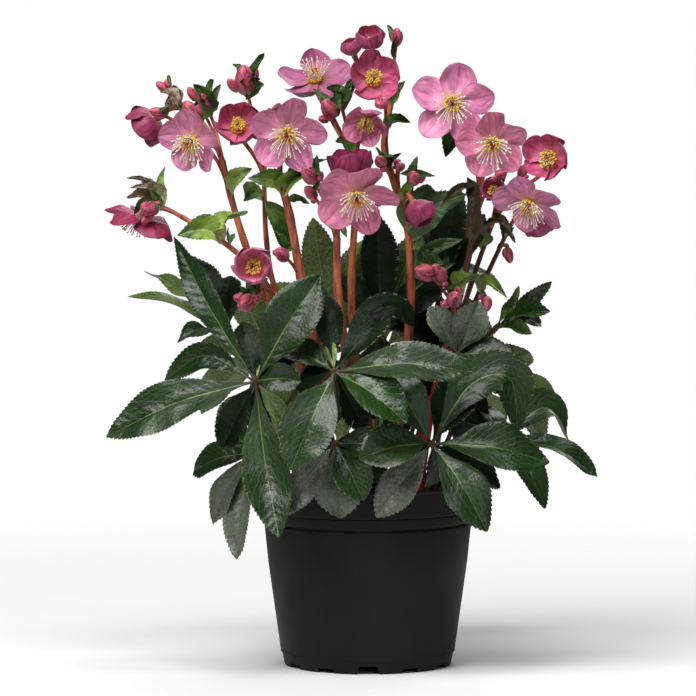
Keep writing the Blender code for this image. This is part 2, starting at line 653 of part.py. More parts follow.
def bloom_frame(name):
    """The bloom's place and the turn that brings its own Z to the way it faces."""
    back, facing, _, _, turn, _, _ = BLOOMS[name]
    axis = Vector(facing).normalized()
    across = UP.cross(axis).normalized()
    basis = Matrix((across, axis.cross(across), axis)).transposed()
    return Vector(back), basis @ Matrix.Rotation(math.radians(turn), 3, "Z")


def sepal_spine(length, opening, angle, radius):
    """The curved rib of one sepal, which leaves the bloom's middle flat and then cups, and its facing."""
    spread = math.radians(opening)
    base_spread = math.radians(min(opening + CUP_TURN, CUP_MOST))
    out = Vector((math.cos(angle), math.sin(angle), 0))
    start = out * radius
    waist = start + (out * math.sin(base_spread) + UP * math.cos(base_spread)) * length * SEPAL_WAIST
    tip = start + (out * math.sin(spread) + UP * math.cos(spread)) * length
    return [start, waist, tip], (UP * math.sin(spread) - out * math.cos(spread)).normalized()


def sepal_points(length, opening, angle, radius, stations):
    """The points of one sepal: two where it joins the middle, four at each station, and its tip."""
    spine, facing = sepal_spine(length, opening, angle, radius)
    width = length * min(1.0, SEPAL_LEAST_WIDTH + opening * SEPAL_WIDTH_PER_DEGREE)
    points, _ = blade(
        spine, facing, width, sepal_outline, stations, SEPAL_THICKNESS, SEPAL_KEEL, 1.0, SEPAL_TILT
    )
    thick = UP * MIDDLE_THICKNESS / 2
    return [spine[0] + thick, spine[0] - thick] + points[4:]


def corolla(length, opening):
    """Five sepals, each lying over the next, round a five-sided middle that they share."""
    radius = MIDDLE_RADIUS * min(1.0, length / FULL_SIZE_SEPAL)
    stations = SEPAL_STATIONS if length > SMALL_SEPAL else SMALL_SEPAL_STATIONS
    corner = radius / math.cos(math.pi / SEPALS)
    points, faces = [UP * MIDDLE_THICKNESS / 2, -UP * MIDDLE_THICKNESS / 2], []
    for number in range(SEPALS):
        angle = 2 * math.pi * (number + 0.5) / SEPALS
        points.append(Vector((math.cos(angle), math.sin(angle), 0)) * corner)
    for number in range(SEPALS):
        first = len(points)
        points += sepal_points(length, opening, 2 * math.pi * number / SEPALS, radius, stations)
        base = (2 + (number - 1) % SEPALS, first, 2 + number, first + 1)
        starts = [first + 2 + 4 * row for row in range(len(stations) - 2)]
        rows = [base] + [tuple(range(start, start + 4)) for start in starts]
        for low, high in zip(rows, rows[1:]):
            for one, two in BLADE_SIDES:
                faces += [(low[one], high[one], low[two]), (low[two], high[one], high[two])]
        faces += [(rows[-1][one], rows[-1][two], len(points) - 1) for one, two in BLADE_SIDES]
        faces += [(0, base[0], base[1]), (0, base[1], base[2])]
        faces += [(1, base[0], base[3]), (1, base[3], base[2])]
    return points, faces


def make_bloom(name):
    _, _, length, opening, _, key, _ = BLOOMS[name]
    place, basis = bloom_frame(name)
    points, faces = corolla(length, opening)
    lift = UP * MIDDLE_THICKNESS / 2
    fuse(name, [([place + basis @ (point + lift) for point in points], faces)], key)


def stamen(number, opening, base, radius, size):
    """One stamen of the tuft, from its foot on the core to the tip of its anther."""
    angle = number * GOLDEN_ANGLE
    spread = (opening - LEAN_FROM) * LEAN_PER_DEGREE * math.sqrt((number + 1) / STAMENS)
    lean = math.radians(STAMEN_LEAST_LEAN + spread)
    out = Vector((math.cos(angle), math.sin(angle), 0))
    way = out * math.sin(lean) + UP * math.cos(lean)
    start = UP * (base + STAMEN_FOOT) + out * radius * STAMEN_SPREAD
    reach = way * STAMEN_LENGTH * size
    route = [start, start + reach * ANTHER_AT, start + reach]
    return tube(route, [STAMEN_RADIUS, ANTHER_RADIUS, 0], STAMEN_SIDES, True)


def make_stamens(name):
    """The tuft of stamens on its core, just clear of the bloom's cup."""
    _, _, length, opening, _, _, _ = BLOOMS[name]
    place, basis = bloom_frame(name)
    size = min(1.0, length / FULL_SIZE_SEPAL)
    base = MIDDLE_THICKNESS + GAP
    radius = MIDDLE_RADIUS * size * CORE_SHARE
    core = [UP * (base + height) for height in CORE_HEIGHTS]
    shapes = [tube(core, [radius, radius, 0], CORE_SIDES, True)]
    shapes += [stamen(number, opening, base, radius, size) for number in range(STAMENS)]
    shapes = [([place + basis @ point for point in points], faces) for points, faces in shapes]
    fuse(name.replace("bloom", "stamens"), shapes, "stamen")


def bud(place, way, radius):
    """A pointed egg of a bud at the end of its stalk."""
    rings = SMALL_BUD_RINGS if radius < LARGE_BUD else BUD_RINGS
    route = [place + way * radius * shift for shift, _ in rings]
    return tube(route, [radius * wide for _, wide in rings], BUD_SIDES, True)


def bract(root, tip, width):
    """A small leaf on a flower stem, its upper side turned to the front and up."""
    way = tip - root
    facing = (BRACT_FACING - way * BRACT_FACING.dot(way) / way.length_squared).normalized()
    spine = [root, (root + tip) / 2 + facing * way.length * BRACT_RISE, tip]
    return blade(spine, facing, width, leaflet_outline, BRACT_STATIONS, RIB_THICKNESS, BRACT_KEEL)


def branch(start, way, end, arrive):
    """A thin stalk that leaves start along way and reaches end along arrive, with a straight last stretch."""
    neck = end - arrive * BRANCH_STRAIGHT
    reach = (neck - start).length * BRANCH_BEND
    leave, meet = start + way * reach, neck - arrive * reach
    route = []
    for step in range(BRANCH_SPANS + 1):
        t = step / BRANCH_SPANS
        near = start * (1 - t) ** 3 + leave * 3 * t * (1 - t) ** 2
        far = meet * 3 * t * t * (1 - t) + neck * t**3
        route.append(near + far)
    route.append(end)
    return tube(route, [BRANCH_RADIUS] * len(route), BRANCH_SIDES)


def branch_ends(stem, route):
    """Where each branch of a stem leaves and ends: the route's index, the end, and the way it arrives."""
    ends = []
    for index, bloom in stem["blooms"]:
        place, basis = bloom_frame(bloom)
        ends.append((index, place - basis @ UP * GAP, basis @ UP))
    for index, place, size in stem["buds"]:
        arrive = bud_way(route[index + 2], Vector(place))
        ends.append((index, Vector(place) - arrive * size * BUD_SEAT, arrive))
    return ends


def bud_way(start, place):
    return ((place - start).normalized() + BUD_DROOP).normalized()


def make_stem(name, stem):
    route = rooted(stem["foot"], stem["route"])
    last = len(route) - 1
    narrowing = [STEM_ROOT + (STEM_TOP - STEM_ROOT) * number / last for number in range(last + 1)]
    shapes = [tube(route, [stem["radius"] * share for share in narrowing], STEM_SIDES)]
    ways = [(b - a).normalized() for a, b in zip(route, route[1:])]
    ways.append(ways[-1])
    for number, (index, end, arrive) in enumerate(branch_ends(stem, route)):
        way = ways[index + 1]
        start = route[index + 2] - way * BRANCH_STEP * (number + BRANCH_BEND)
        shapes.append(branch(start, way, end, arrive))
    for index, place, size in stem["buds"]:
        shapes.append(bud(Vector(place), bud_way(route[index + 2], Vector(place)), size))
    for index, tip, width in stem["bracts"]:
        shapes.append(bract(route[index + 2], Vector(tip), width))
    fuse(name, shapes, "stem")


def main():
    clear_scene()
    make_pot()
    make_soil()
    for name, stem in STEMS.items():
        make_stem(name, stem)
    for name, leaf in LEAVES.items():
        make_leaf(name, leaf)
    for name, bloom in BLOOMS.items():
        make_bloom(name)
        if bloom[-1]:
            make_stamens(name)


main()
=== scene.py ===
"""Potted hellebore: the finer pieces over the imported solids, and a pale studio.

Laid out as an add-on: each kind of piece has an operator, and the sizes and colours are in property groups.
"""

import json
import math
import random

import bmesh
import bpy
from bpy.props import FloatProperty, FloatVectorProperty, IntProperty, PointerProperty
from mathutils import Matrix, Vector, noise

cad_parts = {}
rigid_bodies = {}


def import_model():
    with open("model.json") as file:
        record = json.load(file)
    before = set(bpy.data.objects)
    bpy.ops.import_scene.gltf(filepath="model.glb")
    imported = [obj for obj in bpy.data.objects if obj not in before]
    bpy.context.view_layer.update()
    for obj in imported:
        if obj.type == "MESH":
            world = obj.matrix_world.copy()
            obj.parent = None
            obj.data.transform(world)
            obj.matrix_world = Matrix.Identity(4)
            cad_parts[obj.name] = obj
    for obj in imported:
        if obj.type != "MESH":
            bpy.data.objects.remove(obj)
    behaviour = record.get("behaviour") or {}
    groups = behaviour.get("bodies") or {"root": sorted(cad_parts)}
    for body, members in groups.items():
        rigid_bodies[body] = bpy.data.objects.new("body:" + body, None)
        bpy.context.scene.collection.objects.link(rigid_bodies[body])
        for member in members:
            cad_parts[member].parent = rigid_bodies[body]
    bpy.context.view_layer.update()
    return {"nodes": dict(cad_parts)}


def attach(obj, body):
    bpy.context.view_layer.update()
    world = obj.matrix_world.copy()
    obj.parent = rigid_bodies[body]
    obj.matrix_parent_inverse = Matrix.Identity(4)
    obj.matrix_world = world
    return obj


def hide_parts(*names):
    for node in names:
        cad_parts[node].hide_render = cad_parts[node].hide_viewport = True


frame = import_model()

bl_info = {
    "name": "Potted Hellebore",
    "version": (1, 0, 0),
    "blender": (4, 5, 0),
    "location": "3D View > Sidebar > Hellebore",
    "description": "Makes a flowering hellebore in a nursery pot, piece by piece",
    "category": "Add Mesh",
}

MM = 0.001
UP = Vector((0.0, 0.0, 1.0))
GOLDEN_ANGLE = math.radians(137.5)
SMOOTH_BELOW, POT_SMOOTH_BELOW, SOIL_SMOOTH_BELOW = 60, 35, 70

# Pot and potting mix, as in the solids
POT_HEIGHT, POT_RIM_RADIUS, POT_FOOT_INNER_RADIUS = 167.0, 97.5, 72.5
POT_FLOOR_BOTTOM, POT_FLOOR_TOP = 8.5, 11.0
POT_PAD_RADIUS = 14.0
FEET = 12
NOTCH_WIDTH, NOTCH_HEIGHT = 19.0, 4.0
FRONT_NOTCH_WIDTH, FRONT_NOTCH_HEIGHT = 21.0, 7.3
NOTCH_SIDE_SLOPE = 2.5
DRAINS, DRAIN_RADIUS, DRAIN_CIRCLE = 6, 6.0, 56.0
SOIL_TOP, SOIL_RADIUS, SOIL_SEED = 152.0, 93.0, 11
SOIL_RINGS, SOIL_STEPS = 56, 150
SOIL_SIDE = [(0.0, 11.6), (76.4, 11.6), (88.4, 94.0), (93.0, 149.0)]
CRUMB_RINGS, CRUMB_STEPS, CRUMB_REACH = 5, 7, 90
HOLE_DEPTH = 22.0

# Blooms and leaves
SEPALS, NECTARIES, STYLES = 5, 12, 4
LARGE_SEPAL = 30
LEAFLET_PLAIN_FOOT, BRACT_PLAIN_FOOT = 0.16, 0.25
STALK_STEPS, STEM_STEPS_TO_A_POINT = 34, 9

# Studio
FLOOR_REACH = 3.0
CAMERA_PLACE, CAMERA_PITCH = (-0.018, -4.5, 0.625), math.radians(90 - 4.276)

# Each bloom: middle of its back, the way it faces, sepal length, how far it is open, turn, colour
BLOOMS = {
    "bloom_01": ((-157, -55, 479), (-0.45, -0.80, -0.40), 29, 78, 20, "lilac"),
    "bloom_02": ((-117, -35, 489), (0.05, -0.85, 0.35), 26, 44, 0, "rose"),
    "bloom_03": ((-72, -85, 486), (-0.05, -0.95, -0.28), 33, 80, 10, "lilac"),
    "bloom_04": ((-47, -8, 531), (-0.10, -0.66, 0.74), 31, 76, 30, "lilac"),
    "bloom_05": ((4, -45, 532), (0.15, -0.90, 0.30), 27, 54, 36, "rose"),
    "bloom_06": ((-2, -70, 498), (-0.05, -0.80, -0.55), 22, 58, 0, "pink"),
    "bloom_07": ((-10, -112, 433), (0.00, -0.82, -0.57), 35, 78, 5, "pink"),
    "bloom_08": ((-14, -54, 446), (-0.10, -0.12, 0.98), 27, 40, 20, "magenta"),
    "bloom_09": ((76, -40, 511), (-0.05, -0.99, 0.10), 35, 82, 12, "lilac"),
    "bloom_10": ((110, -85, 478), (0.05, -0.90, -0.34), 30, 76, 30, "pink"),
    "bloom_11": ((165, -40, 463), (-0.50, -0.85, 0.10), 25, 55, 10, "rose"),
    "bloom_12": ((145, -58, 424), (-0.35, -0.66, -0.66), 31, 80, 24, "lilac"),
    "bloom_13": ((150, 3, 412), (0.30, 0.25, -0.92), 22, 34, 0, "magenta"),
    "bloom_14": ((-102, -84, 368), (-0.05, -0.97, 0.10), 26, 34, 15, "magenta"),
    "bloom_15": ((-190, 0, 499), (-0.78, 0.10, -0.62), 27, 40, 0, "rose"),
    "bloom_16": ((-203, -36, 411), (-0.32, 0.16, -0.93), 33, 72, 12, "magenta"),
    "bloom_17": ((3, 8, 560), (-0.10, -0.55, 0.83), 20, 30, 0, "magenta"),
    "bloom_18": ((-12, 34, 553), (-0.35, -0.30, 0.88), 16, 26, 0, "rose"),
    "bloom_19": ((114, -26, 433), (-0.15, -0.97, 0.15), 16, 36, 0, "magenta"),
    "bloom_20": ((40, -34, 424), (0.50, -0.30, -0.81), 24, 22, 0, "rose"),
}

# Each flower stem: radius, place of its foot, route above the soil, blooms, buds and bracts.
# A branch is the index of the route's point that it leaves, and a bloom's name or a bud's place and radius.
# A bract is a place near its root, its tip, its width and its tone.
STEMS = {
    "flower_stem_1": {
        "radius": 3.6, "foot": (-40, -14),
        "route": [
            (-48, -18, 215), (-64, -26, 285), (-84, -33, 335), (-110, -40, 370), (-140, -44, 394),
            (-168, -38, 410),
        ],
        "blooms": [(5, "bloom_16"), (2, "bloom_14")],
        "buds": [(5, (-194, -60, 418), 8), (2, (-107, -66, 335), 9), (2, (-98, -62, 350), 6)],
        "bracts": [
            ((-139, -44, 393), (-106, -62, 410), 16, "lime"),
            ((-137, -42, 376), (-170, -62, 395), 26, "lime"),
            ((-176, -42, 434), (-188, -46, 455), 12, "lime"),
            ((-130, -34, 376), (-124, -20, 392), 10, "green"),
            ((-178, -42, 434), (-216, -44, 450), 9, "brown"),
            ((-182, -42, 432), (-211, -56, 440), 13, "spent"),
            ((-182, -42, 429), (-216, -40, 425), 14, "spent"),
            ((-183, -42, 430), (-204, -30, 444), 12, "spent"),
        ],
    },
    "flower_stem_2": {
        "radius": 4.4, "foot": (-26, -10),
        "route": [
            (-38, -10, 220), (-66, -12, 285), (-95, -20, 343), (-112, -24, 388), (-124, -28, 429),
            (-131, -30, 460),
        ],
        "blooms": [(5, "bloom_01"), (5, "bloom_15")],
        "buds": [
            (5, (-145, -20, 509), 7), (5, (-157, -14, 518), 5), (5, (-184, 6, 524), 5),
            (5, (-158, -12, 501), 8), (5, (-187, -26, 502), 5.5),
        ],
        "bracts": [
            ((-122, -28, 427), (-102, -46, 454), 17, "lime"),
            ((-146, -16, 509), (-157, -22, 527), 14, "green"),
            ((-141, -14, 512), (-139, -10, 532), 11, "green"),
            ((-172, -4, 502), (-187, -6, 526), 16, "spent"), ((-172, -4, 503), (-183, 6, 526), 12, "brown"),
            ((-174, -4, 502), (-177, -16, 521), 14, "spent"),
        ],
    },
    "flower_stem_3": {
        "radius": 3.4, "foot": (-14, 18),
        "route": [(-30, 18, 220), (-58, 14, 285), (-84, 8, 341), (-92, 2, 386), (-94, -4, 440)],
        "blooms": [(4, "bloom_02")],
        "buds": [(4, (-111, -6, 528), 10), (4, (-84, 14, 500), 6)],
        "bracts": [
            ((-92, 4, 424), (-73, 8, 375), 24, "green"), ((-91, 0, 426), (-113, -12, 422), 12, "green"),
            ((-109, -2, 517), (-119, -6, 542), 15, "green"), ((-107, -2, 515), (-100, -8, 535), 12, "brown"),
            ((-110, 0, 516), (-96, 14, 524), 14, "green"), ((-92, 4, 424), (-111, 16, 426), 16, "lime"),
        ],
    },
    "flower_stem_4": {
        "radius": 5.6, "foot": (-12, -16),
        "route": [(-24, -22, 220), (-46, -30, 290), (-60, -38, 353), (-70, -46, 410), (-78, -52, 440)],
        "blooms": [(4, "bloom_03")],
        "buds": [(2, (-76, -62, 376), 7)],
        "bracts": [
            ((-80, -52, 428), (-106, -66, 445), 22, "lime"), ((-75, -50, 428), (-56, -62, 455), 20, "lime"),
            ((-74, -52, 433), (-37, -66, 463), 11, "green"), ((-74, -48, 426), (-55, -46, 420), 9, "green"),
        ],
    },
    "flower_stem_5": {
        "radius": 5.2, "foot": (2, -18),
        "route": [(-6, -28, 220), (-20, -40, 290), (-27, -50, 343), (-28, -58, 392)],
        "blooms": [(3, "bloom_07")],
        "buds": [(3, (-51, -74, 447), 8), (3, (-50, -66, 431), 6)],
        "bracts": [
            ((-30, -56, 396), (-16, -68, 414), 13, "lime"), ((-29, -56, 397), (-38, -66, 409), 9, "lime"),
            ((-29, -56, 399), (-19, -76, 394), 10, "green"),
        ],
    },
    "flower_stem_6": {
        "radius": 4.4, "foot": (8, 4),
        "route": [(0, 2, 220), (-12, -2, 290), (-15, -8, 350), (-12, -16, 405), (-12, -20, 450)],
        "blooms": [(3, "bloom_08"), (4, "bloom_06"), (4, "bloom_04")],
        "buds": [
            (4, (-34, -34, 504), 8), (4, (-26, -20, 516), 5), (3, (4, -40, 424), 5), (4, (-25, -26, 514), 5),
        ],
        "bracts": [
            ((-23, -20, 507), (-38, -34, 525), 15, "green"), ((-13, -22, 500), (-13, -20, 534), 9, "green"),
            ((-11, -18, 503), (-5, -14, 538), 8, "brown"), ((-16, -22, 460), (-29, -14, 480), 13, "green"),
        ],
    },
    "flower_stem_7": {
        "radius": 4.8, "foot": (26, 4),
        "route": [
            (28, 4, 220), (36, 2, 290), (39, -2, 345), (36, -6, 400), (25, -6, 436), (15, -6, 472),
            (21, -4, 514),
        ],
        "blooms": [(6, "bloom_05"), (6, "bloom_17"), (6, "bloom_18"), (3, "bloom_20")],
        "lone buds": [(6, (12, -78, 514), 7)],
        "buds": [
            (6, (26, 4, 568), 6), (4, (12, -28, 458), 6), (3, (41, -30, 443), 7), (4, (29, -24, 454), 5),
            (4, (11, -16, 458), 3.5), (4, (27, -18, 456), 3.5),
        ],
        "bracts": [
            ((52, -8, 384), (86, 2, 428), 27, "sage"), ((56, -8, 352), (84, -2, 388), 15, "sage"),
            ((22, -6, 507), (34, -14, 531), 11, "green"), ((20, -8, 488), (39, -18, 491), 12, "green"),
            ((24, 0, 552), (31, -2, 576), 8, "brown"), ((33, -20, 424), (43, -34, 447), 13, "lime"),
            ((36, -6, 391), (66, -2, 431), 27, "sage"), ((36, -6, 378), (56, -16, 368), 14, "green"),
            ((15, -8, 445), (10, -14, 469), 8, "brown"), ((19, -8, 452), (31, -16, 467), 8, "brown"),
        ],
    },
    "flower_stem_8": {
        "radius": 4.2, "foot": (46, -18),
        "route": [(54, -16, 215), (64, -8, 262), (80, 0, 320), (92, -4, 375), (100, -10, 420)],
        "blooms": [(4, "bloom_09"), (4, "bloom_10")],
        "buds": [
            (2, (53, -32, 358), 9), (2, (66, -30, 356), 7), (2, (78, -26, 334), 8), (4, (118, -40, 447), 5.5),
        ],
        "bracts": [
            ((80, -6, 490), (71, -22, 463), 20, "green"), ((67, -8, 344), (77, -16, 370), 14, "green"),
            ((64, -12, 342), (44, -36, 349), 11, "lime"), ((96, -4, 382), (86, -8, 442), 20, "brown"),
            ((92, -8, 431), (67, -16, 417), 9, "brown"), ((89, -4, 333), (103, -20, 350), 13, "lime"),
        ],
    },
    "flower_stem_9": {
        "radius": 3.4, "foot": (44, 14),
        "route": [(54, 18, 215), (76, 22, 285), (94, 20, 345), (112, 10, 398)],
        "blooms": [(3, "bloom_11"), (3, "bloom_19")],
        "buds": [(3, (128, -8, 456), 6), (3, (140, 8, 448), 5)],
        "bracts": [
            ((104, 4, 381), (118, -10, 404), 15, "brown"), ((98, 8, 375), (89, 0, 400), 14, "green"),
            ((120, -6, 396), (131, -14, 382), 10, "brown"),
        ],
    },
    "flower_stem_10": {
        "radius": 3.2, "foot": (36, 34),
        "route": [(50, 40, 215), (80, 42, 285), (106, 34, 346), (126, 10, 392)],
        "blooms": [(3, "bloom_12"), (3, "bloom_13")],
        "buds": [(2, (108, 12, 330), 6), (3, (128, 22, 374), 5)],
        "bracts": [
            ((99, 34, 337), (127, -4, 333), 13, "lime"), ((118, 10, 384), (111, 0, 410), 12, "brown"),
            ((120, 8, 388), (134, -4, 394), 9, "green"),
        ],
    },
}

# Each leaf: place of its foot, stalk above the soil, hub, the way its upper side faces, and its leaflets.
# A leaflet is its tip, its width, the rise of its rib over a straight line and its tone,
# and where it needs them its twist in degrees and points on its way.
# Leaflets of the deep tone are near-black sheets of painted shade inside the plant; many of them fill gaps in
# the thick.
LEAVES = {
    "leaf_01": {
        "foot": (-48, -34), "stalk": [(-62, -52, 200), (-88, -84, 245)], "hub": (-100, -105, 267),
        "facing": (-0.15, -0.85, 0.5),
        "leaflets": [
            ((-174, -60, 393), 26, 4, "dark", -25, [(-137, -88, 324)]),
            ((-42, -98, 361), 46, 6, "dark", 12, []), ((-233, -104, 217), 43, 14, "silver"),
            ((-79, -143, 131), 42, 8, "silver", 0, [(-92, -112, 198)]),
            ((-59, -122, 268), 26, 6, "dark", 20, []),
            ((-183, -50, 263), 24, 4, "dark", -20, [(-146, -72, 287)]), ((-130, -80, 205), 34, 4, "deep"),
            ((-72, -90, 226), 16, 3, "pale"), ((-88, -84, 305), 13, 2, "pale"),
            ((-112, -78, 318), 26, 4, "deep", 10, []), ((-96, -74, 214), 24, 3, "deep"),
            ((-62, -70, 298), 28, 3, "deep"),
        ],
    },
    "leaf_02": {
        "foot": (-20, -44), "stalk": [(-24, -62, 200), (-28, -94, 250)], "hub": (-30, -112, 276),
        "facing": (0.1, -0.8, 0.6),
        "leaflets": [
            ((93, -132, 277), 40, 14, "silver"), ((34, -150, 233), 40, 8, "fresh"),
            ((-69, -142, 191), 48, 10, "silver"), ((-78, -78, 296), 28, 4, "dark"),
            ((19, -84, 327), 30, 6, "deep", -15, []), ((-36, -98, 302), 10, 2, "pale"),
            ((42, -58, 312), 30, 0, "deep", 0, [(6, -84, 326), (28, -70, 330)]),
            ((-42, -70, 350), 28, 6, "deep", 15, []), ((-4, -92, 222), 34, 3, "deep"),
            ((-66, -84, 262), 30, 3, "deep"),
        ],
    },
    "leaf_03": {
        "foot": (30, -44), "stalk": [(36, -62, 185), (50, -94, 205)], "hub": (56, -112, 212),
        "facing": (0.15, -0.8, 0.6),
        "leaflets": [
            ((16, -96, 273), 38, 5, "silver"),
            ((134, -82, 221), 42, 0, "dark", 0, [(91, -90, 262), (126, -86, 268)]),
            ((161, -110, 195), 46, 10, "dark"), ((105, -138, 136), 42, 8, "silver"),
            ((-9, -140, 201), 42, 8, "dark"), ((7, -124, 147), 34, 4, "dull"),
            ((60, -78, 172), 36, 4, "deep"), ((34, -70, 184), 30, 4, "deep"),
            ((118, -88, 170), 34, 4, "deep"), ((88, -70, 264), 40, 4, "deep"),
        ],
    },
    "leaf_04": {
        "foot": (-34, -52), "stalk": [(-36, -66, 180), (-33, -88, 202)], "hub": (-30, -102, 211),
        "facing": (0.0, -0.9, 0.4),
        "leaflets": [
            ((-76, -120, 148), 28, 6, "dull"), ((-4, -124, 162), 34, 6, "silver"),
            ((-24, -112, 145), 44, 2, "dull"), ((22, -112, 206), 30, 8, "dark"),
            ((-64, -84, 168), 40, 2, "deep"), ((12, -84, 168), 42, 2, "deep"),
            ((-14, -100, 236), 12, 2, "pale"),
        ],
    },
    "leaf_05": {
        "foot": (62, -24), "stalk": [(82, -34, 180), (108, -50, 202)], "hub": (119, -55, 210),
        "facing": (0.45, -0.45, 0.77),
        "leaflets": [
            ((206, -60, 177), 34, 12, "dark"), ((182, -18, 206), 36, 0, "silver", 0, [(160, -32, 237)]),
            ((158, -88, 151), 34, 8, "silver"), ((96, -14, 238), 30, 6, "dark"),
            ((66, -26, 238), 44, 4, "deep"),
        ],
    },
    "leaf_06": {
        "foot": (56, 2), "stalk": [(66, -8, 215), (76, -32, 262)], "hub": (81, -48, 286),
        "facing": (0.25, -0.8, 0.55),
        "leaflets": [
            ((54, -58, 330), 28, 4, "dull"), ((99, -62, 336), 32, 4, "dull"),
            ((130, -60, 284), 32, 6, "dark"), ((120, -78, 252), 30, 6, "dark"),
            ((88, -22, 200), 42, 4, "deep"),
        ],
    },
    "leaf_07": {
        "foot": (-58, -22), "stalk": [(-74, -40, 180), (-90, -62, 198)], "hub": (-100, -72, 200),
        "facing": (-0.55, -0.6, 0.58),
        "leaflets": [
            ((-139, -78, 136), 32, 8, "dull"), ((-117, -102, 107), 32, 8, "dull"),
            ((-158, -30, 178), 34, 8, "dark"), ((-128, -8, 214), 28, 6, "dark"),
        ],
    },
    "leaf_08": {
        "foot": (-50, 4), "stalk": [(-72, -2, 215), (-108, -8, 275)], "hub": (-127, -10, 302),
        "facing": (-0.25, -0.35, 0.9),
        "leaflets": [
            ((-218, -6, 336), 25, 12, "lit", 10, []), ((-204, 14, 358), 17, 12, "lit", 10, []),
            ((-172, -34, 296), 26, 8, "dark"), ((-164, 24, 372), 34, 6, "deep"),
            ((-126, 40, 352), 28, 6, "deep"),
        ],
    },
    "leaf_09": {
        "foot": (-28, 34), "stalk": [(-34, 36, 215), (-34, 34, 275)], "hub": (-34, 32, 300),
        "facing": (0.0, 0.92, 0.38),
        "leaflets": [
            ((-50, 26, 406), 32, 4, "olive"), ((-4, 46, 384), 30, 6, "deep"), ((-96, 56, 340), 34, 8, "deep"),
            ((-36, 108, 310), 34, 10, "dark"), ((-92, 26, 266), 38, 6, "deep"),
            ((-84, 30, 222), 40, 8, "deep"), ((-46, 24, 204), 42, 6, "deep"), ((-6, 30, 330), 34, 4, "deep"),
        ],
    },
    "leaf_10": {
        "foot": (14, 30), "stalk": [(16, 30, 220), (14, 26, 280)], "hub": (12, 24, 304),
        "facing": (0.1, -0.7, 0.7),
        "leaflets": [
            ((8, 28, 410), 34, 4, "deep"), ((70, 20, 350), 34, 6, "deep"), ((48, 44, 392), 34, 6, "olive"),
            ((66, 46, 286), 34, 8, "deep"), ((-12, 24, 212), 44, 6, "deep"), ((34, 28, 206), 44, 6, "deep"),
            ((-30, 30, 352), 32, 4, "deep"),
        ],
    },
    "leaf_11": {
        "foot": (30, 54), "stalk": [(44, 58, 220), (60, 58, 300)], "hub": (66, 56, 335),
        "facing": (-0.1, -0.75, 0.65),
        "leaflets": [
            ((83, 60, 435), 32, 6, "deep"), ((48, 84, 420), 30, 6, "deep"), ((108, 76, 407), 30, 6, "deep"),
            ((116, 104, 350), 30, 10, "dark"), ((62, 46, 236), 42, 6, "deep"), ((96, 44, 262), 38, 6, "deep"),
            ((28, 52, 300), 36, 6, "deep"),
        ],
    },
    "leaf_12": {
        "foot": (62, 22), "stalk": [(76, 24, 210), (100, 28, 280)], "hub": (118, 26, 306),
        "facing": (0.3, -0.5, 0.8),
        "leaflets": [
            ((168, 20, 348), 15, 4, "dark", 35, [(138, 16, 322)]),
            ((166, 0, 322), 17, 4, "fresh", 35, [(144, 8, 320)]), ((160, 56, 308), 18, 8, "dark", 35, []),
            ((150, 22, 300), 12, 3, "lit", 35, []), ((138, 20, 344), 11, 3, "lit", 35, []),
        ],
    },
    "leaf_13": {
        "foot": (-46, 46), "stalk": [(-58, 62, 205), (-78, 86, 256)], "hub": (-88, 96, 272),
        "facing": (-0.2, 0.6, 0.77),
        "leaflets": [
            ((-172, 92, 262), 40, 14, "dark"), ((-156, 162, 214), 42, 14, "silver"),
            ((-84, 186, 190), 42, 16, "fresh"), ((-24, 128, 276), 36, 10, "dark"),
            ((-122, 72, 340), 34, 8, "dark"), ((-60, 78, 346), 34, 6, "dark"),
        ],
    },
    "leaf_14": {
        "foot": (6, 58), "stalk": [(8, 80, 200), (12, 104, 262)], "hub": (14, 112, 280),
        "facing": (0.0, 0.62, 0.78),
        "leaflets": [
            ((-48, 154, 206), 40, 12, "dark"), ((12, 190, 176), 42, 12, "silver"),
            ((74, 158, 208), 40, 12, "dark"), ((78, 96, 312), 36, 6, "dark"), ((-14, 92, 356), 34, 6, "dark"),
            ((40, 88, 364), 34, 6, "dark"),
        ],
    },
    "leaf_15": {
        "foot": (54, 46), "stalk": [(72, 62, 195), (96, 82, 238)], "hub": (106, 90, 250),
        "facing": (0.4, 0.55, 0.73),
        "leaflets": [
            ((178, 78, 222), 40, 14, "dark"), ((166, 142, 186), 42, 14, "silver"),
            ((104, 172, 172), 40, 14, "fresh"), ((150, 56, 280), 34, 8, "dark"),
            ((92, 70, 330), 34, 6, "dark"),
        ],
    },
}


# Sizes and colours that a user would change


def length_property(name, description, value):
    return FloatProperty(
        name=name, description=description, default=value, min=0.0, subtype="DISTANCE", unit="LENGTH"
    )


def colour_property(name, description, value):
    return FloatVectorProperty(
        name=name, description=description, default=value, min=0.0, max=1.0, size=3, subtype="COLOR"
    )


def share_property(name, description, value):
    return FloatProperty(
        name=name, description=description, default=value, min=0.0, max=1.0, subtype="FACTOR"
    )


def power_property(name, description, value):
    return FloatProperty(name=name, description=description, default=value, min=0.0, unit="POWER")


class HelleborePot(bpy.types.PropertyGroup):
    """The nursery pot."""

    colour: colour_property("Plastic", "Colour of the pot's plastic", (0.008, 0.0085, 0.0085))
    roughness: share_property("Roughness", "How dull the plastic is", 0.55)
    segments: IntProperty(name="Segments", description="Steps round the pot", default=144, min=24, max=360)


class HelleboreSoil(bpy.types.PropertyGroup):
    """The potting mix."""

    peat: colour_property("Peat", "Colour of the moist peat", (0.050, 0.019, 0.010))
    bark: colour_property("Bark", "Colour of the bark crumbs", (0.150, 0.058, 0.028))
    crumbs: IntProperty(name="Crumbs", description="Loose crumbs on top", default=620, min=0, max=3000)
    crumb_size: length_property("Crumb size", "Radius of the largest crumbs", 0.0042)


